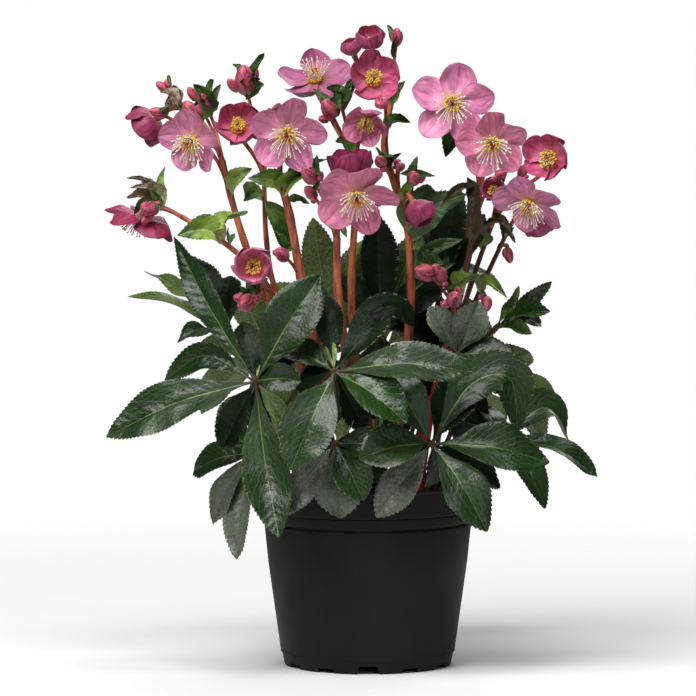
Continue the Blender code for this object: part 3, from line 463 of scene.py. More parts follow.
class HelleboreStems(bpy.types.PropertyGroup):
    """The flower stems, their branches, buds and bracts."""

    skin: colour_property("Skin", "Reddish brown of the stems", (0.640, 0.182, 0.086))
    shade: colour_property("Shade", "Darker patches of the stems", (0.160, 0.034, 0.022))
    brown: colour_property("Brown skin", "Brown of the darker stems", (0.120, 0.040, 0.020))
    speckle: colour_property("Speckles", "Fine pale speckles", (0.420, 0.170, 0.100))
    blush: colour_property("Blush", "Crimson of the stems low down", (0.290, 0.014, 0.022))
    bract: colour_property("Bract", "Lime green of the bracts", (0.290, 0.450, 0.045))
    bract_dark: colour_property("Bract tips", "Darker green of the bracts' ends", (0.035, 0.110, 0.022))


class HelleboreLeaves(bpy.types.PropertyGroup):
    """The toothed leaves."""

    thickness: length_property("Thickness", "Thickness of a leaflet", 0.0007)
    tooth_gap: length_property("Tooth gap", "Distance from tooth to tooth", 0.0036)
    tooth_depth: length_property("Tooth depth", "How far a tooth stands out", 0.0011)
    dark: colour_property("Dark leaf", "Upper side of most leaflets", (0.0058, 0.0250, 0.0034))
    fresh: colour_property("Fresh leaf", "Upper side of the younger leaflets", (0.0090, 0.0420, 0.0035))
    # Leaflets with a stronger painted grey sheen, which stands for the lights' reflection; their own colour
    # is a dark green.
    silver: colour_property("Greyish leaf", "Upper side of the greyish leaflets", (0.0100, 0.0310, 0.0070))
    pale: colour_property("Pale leaf", "Small pale leaflets", (0.170, 0.260, 0.090))
    dull: colour_property("Dull leaf", "Upper side of the old, matt leaflets", (0.074, 0.090, 0.066))
    # Painted shade: near-black leaflets in the thick of the plant, where it lies in shadow.
    deep: colour_property("Deep leaf", "Upper side of the darkest leaflets", (0.0034, 0.0105, 0.0024))
    olive: colour_property("Olive leaf", "Olive side of the leaflets at the back", (0.050, 0.088, 0.014))
    lit: colour_property("Yellowish leaf", "Yellowish leaflets at the edge", (0.110, 0.190, 0.040))
    under: colour_property("Underside", "Underside of the leaflets", (0.100, 0.150, 0.045))
    midrib: colour_property("Midrib", "Pale green of the midribs", (0.250, 0.370, 0.090))
    stalk: colour_property("Stalk", "Colour of the leaf stalks", (0.190, 0.120, 0.050))


class HelleboreBlooms(bpy.types.PropertyGroup):
    """The sepals of the blooms and buds."""

    thickness: length_property("Thickness", "Thickness of a sepal", 0.0007)
    ripple: length_property("Ripple", "How far the edges wave", 0.0011)
    lilac: colour_property("Lilac", "Lilac sepals", (0.810, 0.275, 0.500))
    pink: colour_property("Pink", "Pink sepals", (0.870, 0.260, 0.445))
    rose: colour_property("Rose", "Rose red sepals", (0.620, 0.100, 0.245))
    magenta: colour_property("Magenta", "Dark magenta sepals", (0.460, 0.046, 0.160))
    mauve: colour_property("Mauve", "Darker lilac of the bloom that looks up", (0.420, 0.100, 0.240))
    crimson: colour_property("Crimson", "Crimson of the bloom that looks down", (0.520, 0.034, 0.130))
    vein: colour_property("Veins", "Veins and edges of the sepals", (0.260, 0.022, 0.130))
    bud_light: colour_property("Bud middle", "Middle of a bud's sepals", (0.670, 0.155, 0.215))
    bud_dark: colour_property("Bud edge", "Edges of a bud's sepals", (0.300, 0.024, 0.075))


class HelleboreStamens(bpy.types.PropertyGroup):
    """The tuft in the middle of a bloom."""

    count: IntProperty(name="Stamens", description="Stamens of an open bloom", default=50, min=5, max=120)
    length: length_property("Length", "Length of the stamens of a large bloom", 0.0155)
    filament: colour_property("Filament", "Cream of the filaments", (0.960, 0.820, 0.720))
    anther: colour_property("Anther", "Pale yellow of the anthers", (0.940, 0.700, 0.130))
    nectary: colour_property("Nectaries", "Golden yellow of the ring of nectaries", (0.900, 0.600, 0.015))
    style: colour_property("Styles", "Red brown of the styles", (0.300, 0.016, 0.024))


class HelleboreStudio(bpy.types.PropertyGroup):
    """The floor, the lights and the camera."""

    floor: colour_property("Floor", "Colour of the floor", (0.92, 0.92, 0.92))
    key: power_property("Key light", "Strength of the large light", 66.0)
    top: power_property("Top light", "Strength of the light from above", 26.0)
    fill: power_property("Fill light", "Strength of the front light", 8.0)
    back: power_property("Back light", "Strength of the back light", 22.0)
    world: FloatProperty(name="Surroundings", description="Light from all round", default=0.07, min=0.0)
    lens: FloatProperty(
        name="Lens", description="Focal length", default=256.8, min=1.0, subtype="DISTANCE_CAMERA"
    )


class HelleboreSettings(bpy.types.PropertyGroup):
    """All that can be set."""

    pot: PointerProperty(type=HelleborePot)
    soil: PointerProperty(type=HelleboreSoil)
    stems: PointerProperty(type=HelleboreStems)
    leaves: PointerProperty(type=HelleboreLeaves)
    blooms: PointerProperty(type=HelleboreBlooms)
    stamens: PointerProperty(type=HelleboreStamens)
    studio: PointerProperty(type=HelleboreStudio)


# Curves and outlines, as in the solids


def along(points, t):
    """The point at share t of a smooth curve through the points."""
    spans = [(b - a).length for a, b in zip(points, points[1:])]
    left = max(0.0, min(1.0, t)) * sum(spans)
    index = 0
    while index < len(spans) - 1 and left > spans[index]:
        left -= spans[index]
        index += 1
    u = left / spans[index]
    p1, p2 = points[index], points[index + 1]
    p0 = points[index - 1] if index > 0 else p1 * 2 - p2
    p3 = points[index + 2] if index + 2 < len(points) else p2 * 2 - p1
    bend = (p0 * 2 - p1 * 5 + p2 * 4 - p3) * u * u + (p1 * 3 - p0 - p2 * 3 + p3) * u * u * u
    return (p1 * 2 + (p2 - p0) * u + bend) / 2


def direction(points, t):
    return (along(points, t + 0.02) - along(points, t - 0.02)).normalized()


def outward(angle):
    """The level direction at this angle round Z."""
    return Vector((math.cos(angle), math.sin(angle), 0))


def turns(steps, start=0.0):
    """Equal steps of one whole turn."""
    return [start + math.tau * step / steps for step in range(steps)]


def leaflet_outline(t, swell):
    """Half the width of a leaflet at share t of its length: a narrow foot, widest well past its middle."""
    return max(0.05, math.sin(math.pi * t**swell) ** 0.85 * min(1.0, 0.45 + 1.6 * t))


def sepal_outline(t, widest, point):
    """Half width of a sepal at share t along it, with a rounder or more pointed end."""
    if t < widest:
        return 0.09 + 0.91 * math.sin(math.pi / 2 * t / widest)
    return max(0.0, 1 - ((t - widest) / (1 - widest)) ** 2) ** point


def bloom_frame(name):
    """The bloom's place and the turn that brings its own Z to the way it faces."""
    back, facing, _, _, turn, _ = BLOOMS[name]
    axis = Vector(facing).normalized()
    across = UP.cross(axis).normalized()
    basis = Matrix((across, axis.cross(across), axis)).transposed()
    return Vector(back), basis @ Matrix.Rotation(math.radians(turn), 3, "Z")


def rooted(foot, route):
    """The route with a straight upright start in its hole in the soil."""
    x, y = foot
    low = Vector((x, y, SOIL_TOP - HOLE_DEPTH + 1))
    return [low, Vector((x, y, SOIL_TOP + 3))] + [Vector(point) for point in route]


# Meshes


def add_object(name, data):
    thing = bpy.data.objects.new(name, data)
    bpy.context.scene.collection.objects.link(thing)
    return thing


def smooth(mesh, sharp):
    """Smooth faces, but for edges that turn by more than sharp degrees."""
    mesh.shade_smooth()
    mesh.set_sharp_from_angle(angle=math.radians(sharp))


class Shape:
    """Points, faces, their places on the texture and their material numbers, gathered for one piece."""

    def __init__(self):
        self.points = []
        self.faces = []
        self.places = []
        self.inks = []

    def grid(self, rows, places, ink, turned=False):
        """Faces between rows of points, each row with as many points as the next."""
        first, wide = len(self.points), len(rows[0])
        for row in rows:
            self.points += row
        for i in range(len(rows) - 1):
            for j in range(wide - 1):
                a = first + i * wide + j
                corners = [a, a + 1, a + 1 + wide, a + wide]
                spots = [places[i][j], places[i][j + 1], places[i + 1][j + 1], places[i + 1][j]]
                if turned:
                    corners.reverse()
                    spots.reverse()
                self.faces.append(corners)
                self.places += spots
                self.inks.append(ink)

    def rings(self, rows, heights, ink):
        """Faces round closed rows of points, each with its height on the texture."""
        steps = len(rows[0])
        places = [[(step / steps, height) for step in range(steps + 1)] for height in heights]
        self.grid([row + [row[0].copy()] for row in rows], places, ink)

    def tube(self, route, radii, sides, ink, squash=1.0):
        """A tube along the route, which closes to a point at each end."""
        side = (route[1] - route[0]).normalized().orthogonal().normalized()
        rows, heights, gone = [], [], 0.0
        for number, (middle, radius) in enumerate(zip(route, radii)):
            before, after = route[max(0, number - 1)], route[min(len(route) - 1, number + 1)]
            forward = (after - before).normalized()
            side = (side - forward * side.dot(forward)).normalized()
            other = forward.cross(side) * squash
            gone += (middle - before).length
            rows.append([middle + (side * math.cos(a) + other * math.sin(a)) * radius for a in turns(sides)])
            heights.append(gone / 100)
        rows = [[route[0]] * sides, *rows, [route[-1]] * sides]
        self.rings(rows, [heights[0], *heights, heights[-1]], ink)

    def make(self, name, materials, sharp=SMOOTH_BELOW):
        """The piece itself, its points merged where they meet, with smooth faces."""
        mesh = bpy.data.meshes.new(name)
        mesh.from_pydata([point * MM for point in self.points], [], self.faces)
        layer = mesh.uv_layers.new(name="Surface")
        layer.data.foreach_set("uv", [value for spot in self.places for value in spot])
        mesh.polygons.foreach_set("material_index", self.inks)
        work = bmesh.new()
        work.from_mesh(mesh)
        bmesh.ops.remove_doubles(work, verts=work.verts, dist=0.000004)
        bmesh.ops.dissolve_degenerate(work, edges=work.edges, dist=0.000002)
        loose = [vert for vert in work.verts if not vert.link_faces]
        bmesh.ops.delete(work, geom=loose, context="VERTS")
        work.to_mesh(mesh)
        work.free()
        for material in materials:
            mesh.materials.append(material)
        smooth(mesh, sharp)
        return add_object(name, mesh)


def add_sheet(shape, spine, facing, stations, across, form, turn, inks):
    """A thin closed sheet along the spine: form gives reach, lift, advance and thickness at each place."""
    tops, unders, places = [], [], []
    for t in stations:
        middle, forward = along(spine, t), direction(spine, t)
        side = forward.cross(facing).normalized()
        side = Matrix.Rotation(math.radians(turn * (0.4 + t)), 3, forward) @ side
        raised = side.cross(forward).normalized()
        top, under = [], []
        for u in across:
            reach, lift, ahead, thick = form(t, u)
            point = middle + side * reach + raised * lift + forward * ahead
            top.append(point + raised * thick / 2)
            under.append(point - raised * thick / 2)
        tops.append(top)
        unders.append(under)
        places.append([((u + 1) / 2, t) for u in across])
    shape.grid(tops, places, inks[0])
    shape.grid(unders, places, inks[1], turned=True)


def dress(piece, slot, *nodes):
    """Fixes the piece to the body and hides the solids that it stands for; the slot is not used."""
    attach(piece, "root")
    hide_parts(*nodes)


# Materials


class Paint:
    """The nodes of one material."""

    def __init__(self, name, roughness=0.5, **sockets):
        self.material = bpy.data.materials.new(name)
        self.material.use_nodes = True
        self.nodes = self.material.node_tree.nodes
        self.links = self.material.node_tree.links
        self.shader = self.nodes["Principled BSDF"]
        for socket, value in {"Roughness": roughness, **sockets}.items():
            self.shader.inputs[socket.replace("_", " ")].default_value = value
        here = self.nodes.new("ShaderNodeTexCoord")
        self.here, self.sheet = here.outputs["Object"], here.outputs["UV"]

    def put(self, socket, value):
        """Joins an output to the socket, or sets it to a number or a colour."""
        if isinstance(value, bpy.types.NodeSocket):
            self.links.new(value, socket)
        elif hasattr(value, "__len__") and len(value) == 3 and socket.type == "RGBA":
            socket.default_value = (*value, 1.0)
        else:
            socket.default_value = value

    def node(self, kind, inputs, **settings):
        """A new node with its settings, and with its inputs joined or set."""
        node = self.nodes.new("ShaderNode" + kind)
        for key, value in settings.items():
            setattr(node, key, value)
        for key, value in inputs.items():
            self.put(node.inputs[key], value)
        return node

    def math(self, operation, one, two=0.0, clamp=False):
        return self.node("Math", {0: one, 1: two}, operation=operation, use_clamp=clamp).outputs[0]

    def times(self, one, two):
        return self.math("MULTIPLY", one, two)

    def plus(self, one, two, clamp=False):
        return self.math("ADD", one, two, clamp)

    def minus(self, one, two):
        return self.math("SUBTRACT", one, two)

    def mix(self, share, one, two):
        return self.node("Mix", {"Factor": share, 6: one, 7: two}, data_type="RGBA").outputs[2]

    def cover(self, body, share, strength, colour):
        """The body with the colour over it, at this strength where the share is full."""
        return self.mix(self.times(share, strength), body, colour)

    def steps(self, value, low, high, out_low=0.0, out_high=1.0):
        """A soft step from out_low at low to out_high at high."""
        inputs = dict(enumerate((value, low, high, out_low, out_high)))
        return self.node("MapRange", inputs, interpolation_type="SMOOTHSTEP").outputs[0]

    def fade(self, value, low, high):
        return self.steps(value, low, high, 1.0, 0.0)

    def noise(self, scale, detail=3.0, where=None, rough=0.55):
        inputs = {"Scale": scale, "Detail": detail, "Roughness": rough, "Vector": where or self.here}
        return self.node("TexNoise", inputs).outputs["Fac"]

    def cells(self, scale, feature="F1"):
        inputs = {"Scale": scale, "Vector": self.here}
        return self.node("TexVoronoi", inputs, feature=feature).outputs["Distance"]

    def spot(self):
        """How far off the middle of the sheet, and how far along it."""
        x, y, _ = self.node("SeparateXYZ", {0: self.sheet}).outputs
        return self.math("ABSOLUTE", self.minus(x, 0.5)), y

    def stretched(self, x, y, z=1.0, where=None):
        """The place on the sheet, or another place, stretched by these."""
        return self.node("Mapping", {"Scale": (x, y, z), "Vector": where or self.sheet}).outputs[0]

    def bump(self, height, distance, strength):
        node = self.node("Bump", {"Distance": distance, "Strength": strength, "Height": height})
        self.links.new(node.outputs[0], self.shader.inputs["Normal"])

    def finish(self, colour, roughness=None):
        self.put(self.shader.inputs["Base Color"], colour)
        if roughness is not None:
            self.put(self.shader.inputs["Roughness"], roughness)
        return self.material


def shade(colour, factor):
    return tuple(min(1.0, value * factor) for value in colour)


def leaf_material(name, colour, midrib, grey, rough, rib_length, gloss):
    """A side of a leaf: a fine net of veins, slanting side veins, a pale midrib and patches of painted grey
    sheen, strongest towards the foot.
    """
    paint = Paint(name, rough, Specular_IOR_Level=gloss)
    off, y = paint.spot()
    slant = paint.minus(paint.times(y, 12.0), paint.times(off, 7.0))
    slant = paint.plus(slant, paint.times(paint.noise(60.0, 2.0), 1.1))
    fold = paint.math("ABSOLUTE", paint.minus(paint.math("FRACT", slant), 0.5))
    side_vein = paint.fade(fold, 0.0, 0.055)
    net = paint.cells(240.0, "DISTANCE_TO_EDGE")
    patch = paint.steps(paint.noise(24.0), 0.35, 0.70)
    body = paint.mix(patch, shade(colour, 0.65), shade(colour, 1.35))
    streak = paint.noise(7.0, 3.0, paint.stretched(3.0, 0.5))
    # Painted sheen: grey streaky patches, strongest towards the foot, stand for the reflection of the lights
    # on the leaf.
    painted_grey_sheen = paint.times(paint.steps(y, 0.25, 0.9, grey, grey * 0.2), paint.steps(streak, 0.35, 0.65))
    body = paint.mix(painted_grey_sheen, body, (0.13, 0.17, 0.13))
    body = paint.cover(body, paint.fade(net, 0.0, 0.10), 0.34, shade(colour, 3.0))
    body = paint.cover(body, side_vein, 0.62, shade(midrib, 0.32))
    rib = paint.times(paint.fade(off, 0.008, 0.024), paint.steps(y, 0.10, rib_length, 0.95, 0.15))
    body = paint.mix(rib, body, midrib)
    glow = paint.times(paint.fade(off, 0.02, 0.14), paint.steps(y, 0.05, 0.45, 0.5, 0.0))
    body = paint.mix(glow, body, shade(midrib, 0.45))
    body = paint.cover(body, paint.steps(off, 0.488, 0.5), 0.25, shade(midrib, 0.4))
    paint.bump(paint.minus(paint.steps(net, 0.0, 0.5), paint.times(side_vein, 0.4)), 0.00024, 0.6)
    return paint.finish(body, paint.steps(streak, 0.3, 0.7, rough - 0.05, rough + 0.06))


def sepal_material(name, colour, vein, depth, throat):
    """A sepal: fine veins that fan out from its base, a darker edge and a paler throat."""
    paint = Paint(name, 0.5, Specular_IOR_Level=0.40, Sheen_Weight=0.10, Sheen_Roughness=0.45)
    off, y = paint.spot()
    fine = paint.noise(22.0, 3.0, paint.stretched(2.6, 0.14), 0.6)
    broad = paint.noise(2.2, 3.0, paint.stretched(2.4, 0.9))
    cloud = paint.noise(60.0, 4.0)
    body = paint.mix(paint.steps(broad, 0.34, 0.66), shade(colour, 0.64), shade(colour, 1.18))
    pale = tuple(min(1.0, value * 1.15 + 0.12 * depth) for value in colour)
    body = paint.cover(body, paint.steps(cloud, 0.40, 0.70), 0.60 * depth, pale)
    body = paint.cover(body, paint.steps(fine, 0.52, 0.64), 0.46 * depth, vein)
    body = paint.cover(body, paint.fade(off, 0.0, 0.03), 0.25, vein)
    edge = paint.plus(paint.steps(off, 0.440, 0.5), paint.steps(y, 0.94, 1.0), True)
    body = paint.cover(body, edge, 0.75 * depth, vein)
    body = paint.mix(paint.steps(y, 0.04, 0.40, 0.75, 0.0), body, throat)
    paint.bump(paint.plus(fine, paint.times(cloud, 0.4)), 0.0005, 0.5)
    return paint.finish(body, paint.steps(cloud, 0.3, 0.7, 0.34, 0.50))


def bract_material(name, colour, tip, rib):
    """A bract: pale at its foot, with a net of paler veins, darker towards its end and in patches."""
    paint = Paint(name, 0.42, Specular_IOR_Level=0.4)
    off, y = paint.spot()
    patch = paint.noise(110.0, 4.0)
    net = paint.fade(paint.cells(480.0, "DISTANCE_TO_EDGE"), 0.0, 0.16)
    share = paint.plus(paint.steps(y, 0.35, 1.0, -0.20, 0.90), paint.steps(patch, 0.35, 0.70, -0.15, 0.55))
    share = paint.plus(share, paint.steps(off, 0.30, 0.5, 0.0, 0.35), True)
    body = paint.mix(share, colour, tip)
    body = paint.mix(paint.steps(y, 0.02, 0.50, 0.90, 0.0), body, rib)
    body = paint.cover(body, net, 0.30, shade(rib, 0.7))
    body = paint.cover(body, paint.fade(off, 0.015, 0.05), 0.55, rib)
    paint.bump(paint.plus(paint.cells(480.0), patch), 0.0005, 0.6)
    return paint.finish(body, paint.steps(patch, 0.3, 0.7, 0.34, 0.52))


def bract_materials(settings):
    """One finish for each tone: its colour, its end and its rib, in the order of the tones."""
    tones = (
        (settings.bract, settings.bract_dark, (0.60, 0.66, 0.36)),
        ((0.055, 0.150, 0.022), (0.012, 0.042, 0.010), (0.22, 0.34, 0.10)),
        ((0.085, 0.150, 0.055), (0.050, 0.105, 0.035), (0.22, 0.32, 0.14)),
        ((0.050, 0.034, 0.016), (0.018, 0.014, 0.007), (0.16, 0.13, 0.06)),
        ((0.400, 0.300, 0.210), (0.130, 0.085, 0.050), (0.62, 0.46, 0.38)),
    )
    return [bract_material(f"bract {tone}", *colours) for tone, colours in zip(BRACT_TONES, tones)]


def stem_material(name, skin, dark, speckle, blush=None):
    """The skin of a stem: dark streaks, fine pale speckles, painted shade that darkens it towards its foot
    among the leaves, and crimson low down if blush is given.
    """
    paint = Paint(name, 0.42, Specular_IOR_Level=0.4)
    streak = paint.noise(190.0, 3.0, paint.stretched(1.0, 1.0, 0.12, paint.here))
    patch = paint.steps(paint.noise(22.0), 0.45, 0.7)
    dots = paint.fade(paint.cells(760.0), 0.10, 0.30)
    body = paint.mix(paint.steps(streak, 0.36, 0.66), skin, dark)
    body = paint.cover(body, patch, 0.4, shade(skin, 1.5))
    body = paint.cover(body, dots, 0.5, speckle)
    x, _, z = paint.node("SeparateXYZ", {0: paint.here}).outputs
    # Painted shade: the skin turns dark from 0.37 m down to 0.24 m, inside the leaves where shadow falls.
    body = paint.mix(paint.steps(z, 0.24, 0.37, 0.90, 0.0), body, shade(dark, 0.4))
    if blush:
        low = paint.times(paint.fade(z, 0.22, 0.33), paint.steps(x, -0.01, 0.03))
        body = paint.cover(body, low, 0.8, blush)
    paint.bump(paint.plus(streak, paint.times(dots, 0.3)), 0.0003, 0.6)
    return paint.finish(body, paint.steps(streak, 0.3, 0.7, 0.36, 0.52))


def bud_material(name, light, dark, base):
    """A bud's sepals: pale along the middle, dark at the seams, greenish at the foot."""
    paint = Paint(name, 0.42, Specular_IOR_Level=0.4, Sheen_Weight=0.15, Sheen_Roughness=0.4)
    off, y = paint.spot()
    fine = paint.noise(16.0, 3.0, paint.stretched(2.4, 0.16), 0.6)
    cloud = paint.noise(160.0)
    share = paint.plus(paint.steps(off, 0.06, 0.46), paint.minus(paint.times(cloud, 0.6), 0.3), True)
    body = paint.mix(share, light, dark)
    body = paint.cover(body, paint.steps(fine, 0.52, 0.62), 0.40, shade(dark, 0.7))
    body = paint.mix(paint.steps(off, 0.44, 0.5), body, shade(dark, 0.35))
    body = paint.mix(paint.steps(y, 0.08, 0.34, 0.75, 0.0), body, base)
    paint.bump(fine, 0.0003, 0.5)
    return paint.finish(body, paint.steps(cloud, 0.3, 0.7, 0.27, 0.40))


def plain_material(name, colour, tint, roughness=0.5, grain=300.0):
    """A small part's finish: two tones in fine grains, with a slight relief."""
    paint = Paint(name, roughness, Specular_IOR_Level=0.35)
    fine = paint.noise(grain)
    paint.bump(fine, 0.0002, 0.4)
    return paint.finish(paint.mix(paint.steps(fine, 0.35, 0.65), colour, tint))


def pot_material(settings):
    """Moulded black plastic: faint clouds, rubbed patches and a fine grain."""
    colour, roughness = settings.colour, settings.roughness
    paint = Paint("pot plastic", roughness, Specular_IOR_Level=0.16)
    cloud = paint.noise(14.0, 4.0)
    body = paint.mix(paint.steps(cloud, 0.35, 0.7), shade(colour, 0.75), shade(colour, 1.25))
    rubbed = paint.steps(paint.noise(70.0, 5.0, rough=0.7), 0.62, 0.82)
    body = paint.cover(body, rubbed, 0.10, (0.09, 0.08, 0.07))
    paint.bump(paint.noise(900.0, 2.0), 0.00012, 0.35)
    return paint.finish(body, paint.steps(cloud, 0.3, 0.7, roughness - 0.06, roughness + 0.08))


def soil_material(name, peat, bark, scale):
    """Moist crumbs of peat and bark."""
    paint = Paint(name, 0.85, Specular_IOR_Level=0.25)
    crumb, cloud = paint.cells(scale), paint.noise(90.0, 5.0)
    body = paint.mix(paint.steps(cloud, 0.38, 0.66), peat, bark)
    body = paint.mix(paint.steps(crumb, 0.2, 0.9), body, shade(peat, 0.5))
    body = paint.cover(body, paint.steps(paint.noise(700.0), 0.62, 0.75), 0.5, shade(bark, 2.0))
    paint.bump(paint.plus(cloud, crumb), 0.0012, 0.9)
    return paint.finish(body)


# Pot and potting mix


def turned(profile, segments):
    """A solid turned about Z from a profile of radius and height that starts and ends on the axis."""
    shape = Shape()
    rows = []
    for radius, height in profile:
        angles = turns(segments, -math.pi / 2)
        rows.append([Vector((radius * math.cos(a), radius * math.sin(a), height)) for a in angles])
    shape.rings(rows, [number / len(profile) for number in range(len(profile))], 0)
    return shape


def rounded(corners, radius, steps=3):
    """The profile with each inner corner rounded off."""
    made = [corners[0]]
    for before, corner, after in zip(corners, corners[1:], corners[2:]):
        here = Vector(corner)
        back, on = Vector(before) - here, Vector(after) - here
        reach = min(radius, back.length * 0.4, on.length * 0.4)
        start, end = here + back.normalized() * reach, here + on.normalized() * reach
        for step in range(steps + 1):
            t = step / steps
            made.append(tuple(start * (1 - t) ** 2 + here * 2 * t * (1 - t) + end * t * t))
    return made + [corners[-1]]


def cut(piece, shapes):
    """Takes the shapes out of the piece."""
    cutters = bpy.data.collections.new("cutters")
    bpy.context.scene.collection.children.link(cutters)
    for points, faces in shapes:
        mesh = bpy.data.meshes.new("cutter")
        mesh.from_pydata([point * MM for point in points], [], faces)
        work = bmesh.new()
        work.from_mesh(mesh)
        bmesh.ops.recalc_face_normals(work, faces=work.faces)
        work.to_mesh(mesh)
        work.free()
        cutters.objects.link(bpy.data.objects.new("cutter", mesh))
    step = piece.modifiers.new("cut", "BOOLEAN")
    step.operation = "DIFFERENCE"
    step.operand_type = "COLLECTION"
    step.collection = cutters
    step.solver = "EXACT"
    graph = bpy.context.evaluated_depsgraph_get()
    mesh = bpy.data.meshes.new_from_object(piece.evaluated_get(graph))
    piece.modifiers.clear()
    piece.data = mesh
    for helper in list(cutters.objects):
        bpy.data.objects.remove(helper)
    bpy.data.collections.remove(cutters)


def notch_cutter(number):
    front = number == 0
    wide = FRONT_NOTCH_WIDTH if front else NOTCH_WIDTH
    tall = FRONT_NOTCH_HEIGHT if front else NOTCH_HEIGHT
    low, high = wide / 2 + NOTCH_SIDE_SLOPE * 2 / tall, wide / 2 - NOTCH_SIDE_SLOPE
    corners = ((-low, -2), (low, -2), (high, tall), (-high, tall))
    turn = Matrix.Rotation(2 * math.pi * number / FEET, 3, "Z")
    points = []
    for reach in (POT_FOOT_INNER_RADIUS - 2, POT_RIM_RADIUS):
        points += [turn @ Vector((across, -reach, height)) for across, height in corners]
    return points, [(0, 1, 2, 3), (4, 5, 6, 7), (0, 1, 5, 4), (1, 2, 6, 5), (2, 3, 7, 6), (3, 0, 4, 7)]


def drain_cutter(number, sides=28):
    middle = Matrix.Rotation(math.tau * number / DRAINS, 3, "Z") @ Vector((DRAIN_CIRCLE, 0, 0))
    points = []
    for height in (POT_FLOOR_BOTTOM - 2, POT_FLOOR_TOP + 2):
        for angle in turns(sides):
            x, y = math.cos(angle) * DRAIN_RADIUS, math.sin(angle) * DRAIN_RADIUS
            points.append(middle + Vector((x, y, height)))
    faces = [tuple(range(sides)), tuple(range(sides, 2 * sides))]
    for step in range(sides):
        after = (step + 1) % sides
        faces.append((step, after, after + sides, step + sides))
    return points, faces


def pot_profile():
    under = [(0.0, 0.0), (POT_PAD_RADIUS, 0.0), (POT_PAD_RADIUS, POT_FLOOR_BOTTOM)]
    under += [(POT_FOOT_INNER_RADIUS, POT_FLOOR_BOTTOM), (POT_FOOT_INNER_RADIUS, 0.0)]
    wall = [(75.8, 0.0), (78.2, 11.6), (79.6, 12.2), (79.4, 13.4), (90.7, 94.0), (94.3, 129.6), (93.0, 131.2)]
    wall += [(93.2, 132.6), (95.7, 133.6), (96.0, 141.0), (95.4, 141.8), (96.1, 142.6), (96.5, 163.4)]
    rim = [(97.5, 164.4), (97.5, 167.0), (94.9, 167.0), (93.9, 150.0), (89.0, 94.0), (77.0, POT_FLOOR_TOP)]
    return rounded(under + wall + rim + [(0.0, POT_FLOOR_TOP)], 0.7)


def make_pot(settings):
    shape = turned(pot_profile(), settings.segments)
    pot = shape.make("pot_shell", [pot_material(settings)], POT_SMOOTH_BELOW)
    notches = [notch_cutter(number) for number in range(FEET)]
    cut(pot, notches + [drain_cutter(number) for number in range(DRAINS)])
    smooth(pot.data, POT_SMOOTH_BELOW)
    dress(pot, "pot_plastic", "pot")


def soil_height(x, y):
    """How far the top of the mix stands above its level."""
    broad = noise.noise(Vector((x, y, 3.0)) / 34)
    lumps = noise.fractal(Vector((x, y, 9.0)) / 9, 0.7, 2.2, 4)
    return broad * 2.6 + lumps * 1.9


def add_crumb(shape, place, radius, chance, ink):
    """An uneven lump of bark or peat."""
    stretch = Vector((chance.uniform(0.7, 1.5), chance.uniform(0.6, 1.1), chance.uniform(0.5, 0.9)))
    turn = Matrix.Rotation(chance.uniform(0, math.tau), 3, "Z")
    turn = turn @ Matrix.Rotation(chance.uniform(-0.6, 0.6), 3, "X")
    seed = Vector((chance.random(), chance.random(), chance.random())) * 50
    rows, heights = [], [ring / CRUMB_RINGS for ring in range(CRUMB_RINGS + 1)]
    for ring in range(CRUMB_RINGS + 1):
        tilt = math.pi * ring / CRUMB_RINGS
        row = []
        for angle in turns(CRUMB_STEPS):
            wide, deep = math.sin(tilt) * math.cos(angle), math.sin(tilt) * math.sin(angle)
            way = Vector((wide, deep, -math.cos(tilt)))
            far = radius * (1 + 0.45 * noise.noise(way * 1.7 + seed))
            row.append(place + turn @ (way * far * stretch))
        rows.append(row)
    shape.rings(rows, heights, ink)


def make_soil(settings):
    chance = random.Random(SOIL_SEED)
    shape = Shape()
    rows = []
    radii = [SOIL_RADIUS - step * SOIL_RADIUS / SOIL_RINGS for step in range(SOIL_RINGS + 1)]
    profile = SOIL_SIDE + [(radius, None) for radius in radii]
    for radius, height in profile:
        row = []
        for angle in turns(SOIL_STEPS):
            x, y = radius * math.cos(angle), radius * math.sin(angle)
            top = SOIL_TOP - 0.6 + soil_height(x, y) - (2.0 if radius > SOIL_RADIUS - 1 else 0.0)
            row.append(Vector((x, y, top if height is None else height)))
        rows.append(row)
    shape.rings(rows, [radius / SOIL_RADIUS for radius, _ in profile], 0)
    for _ in range(settings.crumbs):
        far, angle = CRUMB_REACH * math.sqrt(chance.random()), chance.uniform(0, math.tau)
        x, y = far * math.cos(angle), far * math.sin(angle)
        radius = settings.crumb_size / MM * chance.uniform(0.22, 1.0) ** 1.6
        place = Vector((x, y, SOIL_TOP + soil_height(x, y) + radius * 0.15))
        add_crumb(shape, place, radius, chance, chance.choice((0, 1, 1)))
    finishes = [
        soil_material("peat", settings.peat, settings.bark, 260.0),
        soil_material("bark crumbs", shade(settings.bark, 0.75), shade(settings.bark, 1.5), 420.0),
    ]
    dress(shape.make("soil_bed", finishes, SOIL_SMOOTH_BELOW), "potting_mix", "soil")


# Leaves and bracts


HALF_ACROSS = (0.05, 0.15, 0.3, 0.46, 0.62, 0.78, 0.92, 1)
LEAF_ACROSS = (*(-u for u in reversed(HALF_ACROSS)), 0, *HALF_ACROSS)
SEPAL_ACROSS = tuple(math.sin(math.pi / 2 * step / 10) for step in range(-10, 11))
TOOTH_PEAK = 0.82
TOOTH_STEPS = (0.0, 0.45, TOOTH_PEAK)


def tooth_stations(teeth, start):
    """Places along a toothed leaf: three to a tooth, and a few on the plain stretch before the first."""
    plain = [0.0, 0.02] + [start * step / 6 for step in range(1, 6)]
    steps = [number + step for number in range(teeth) for step in TOOTH_STEPS]
    return plain + [start + (1 - start) * step / teeth for step in steps] + [1.0]


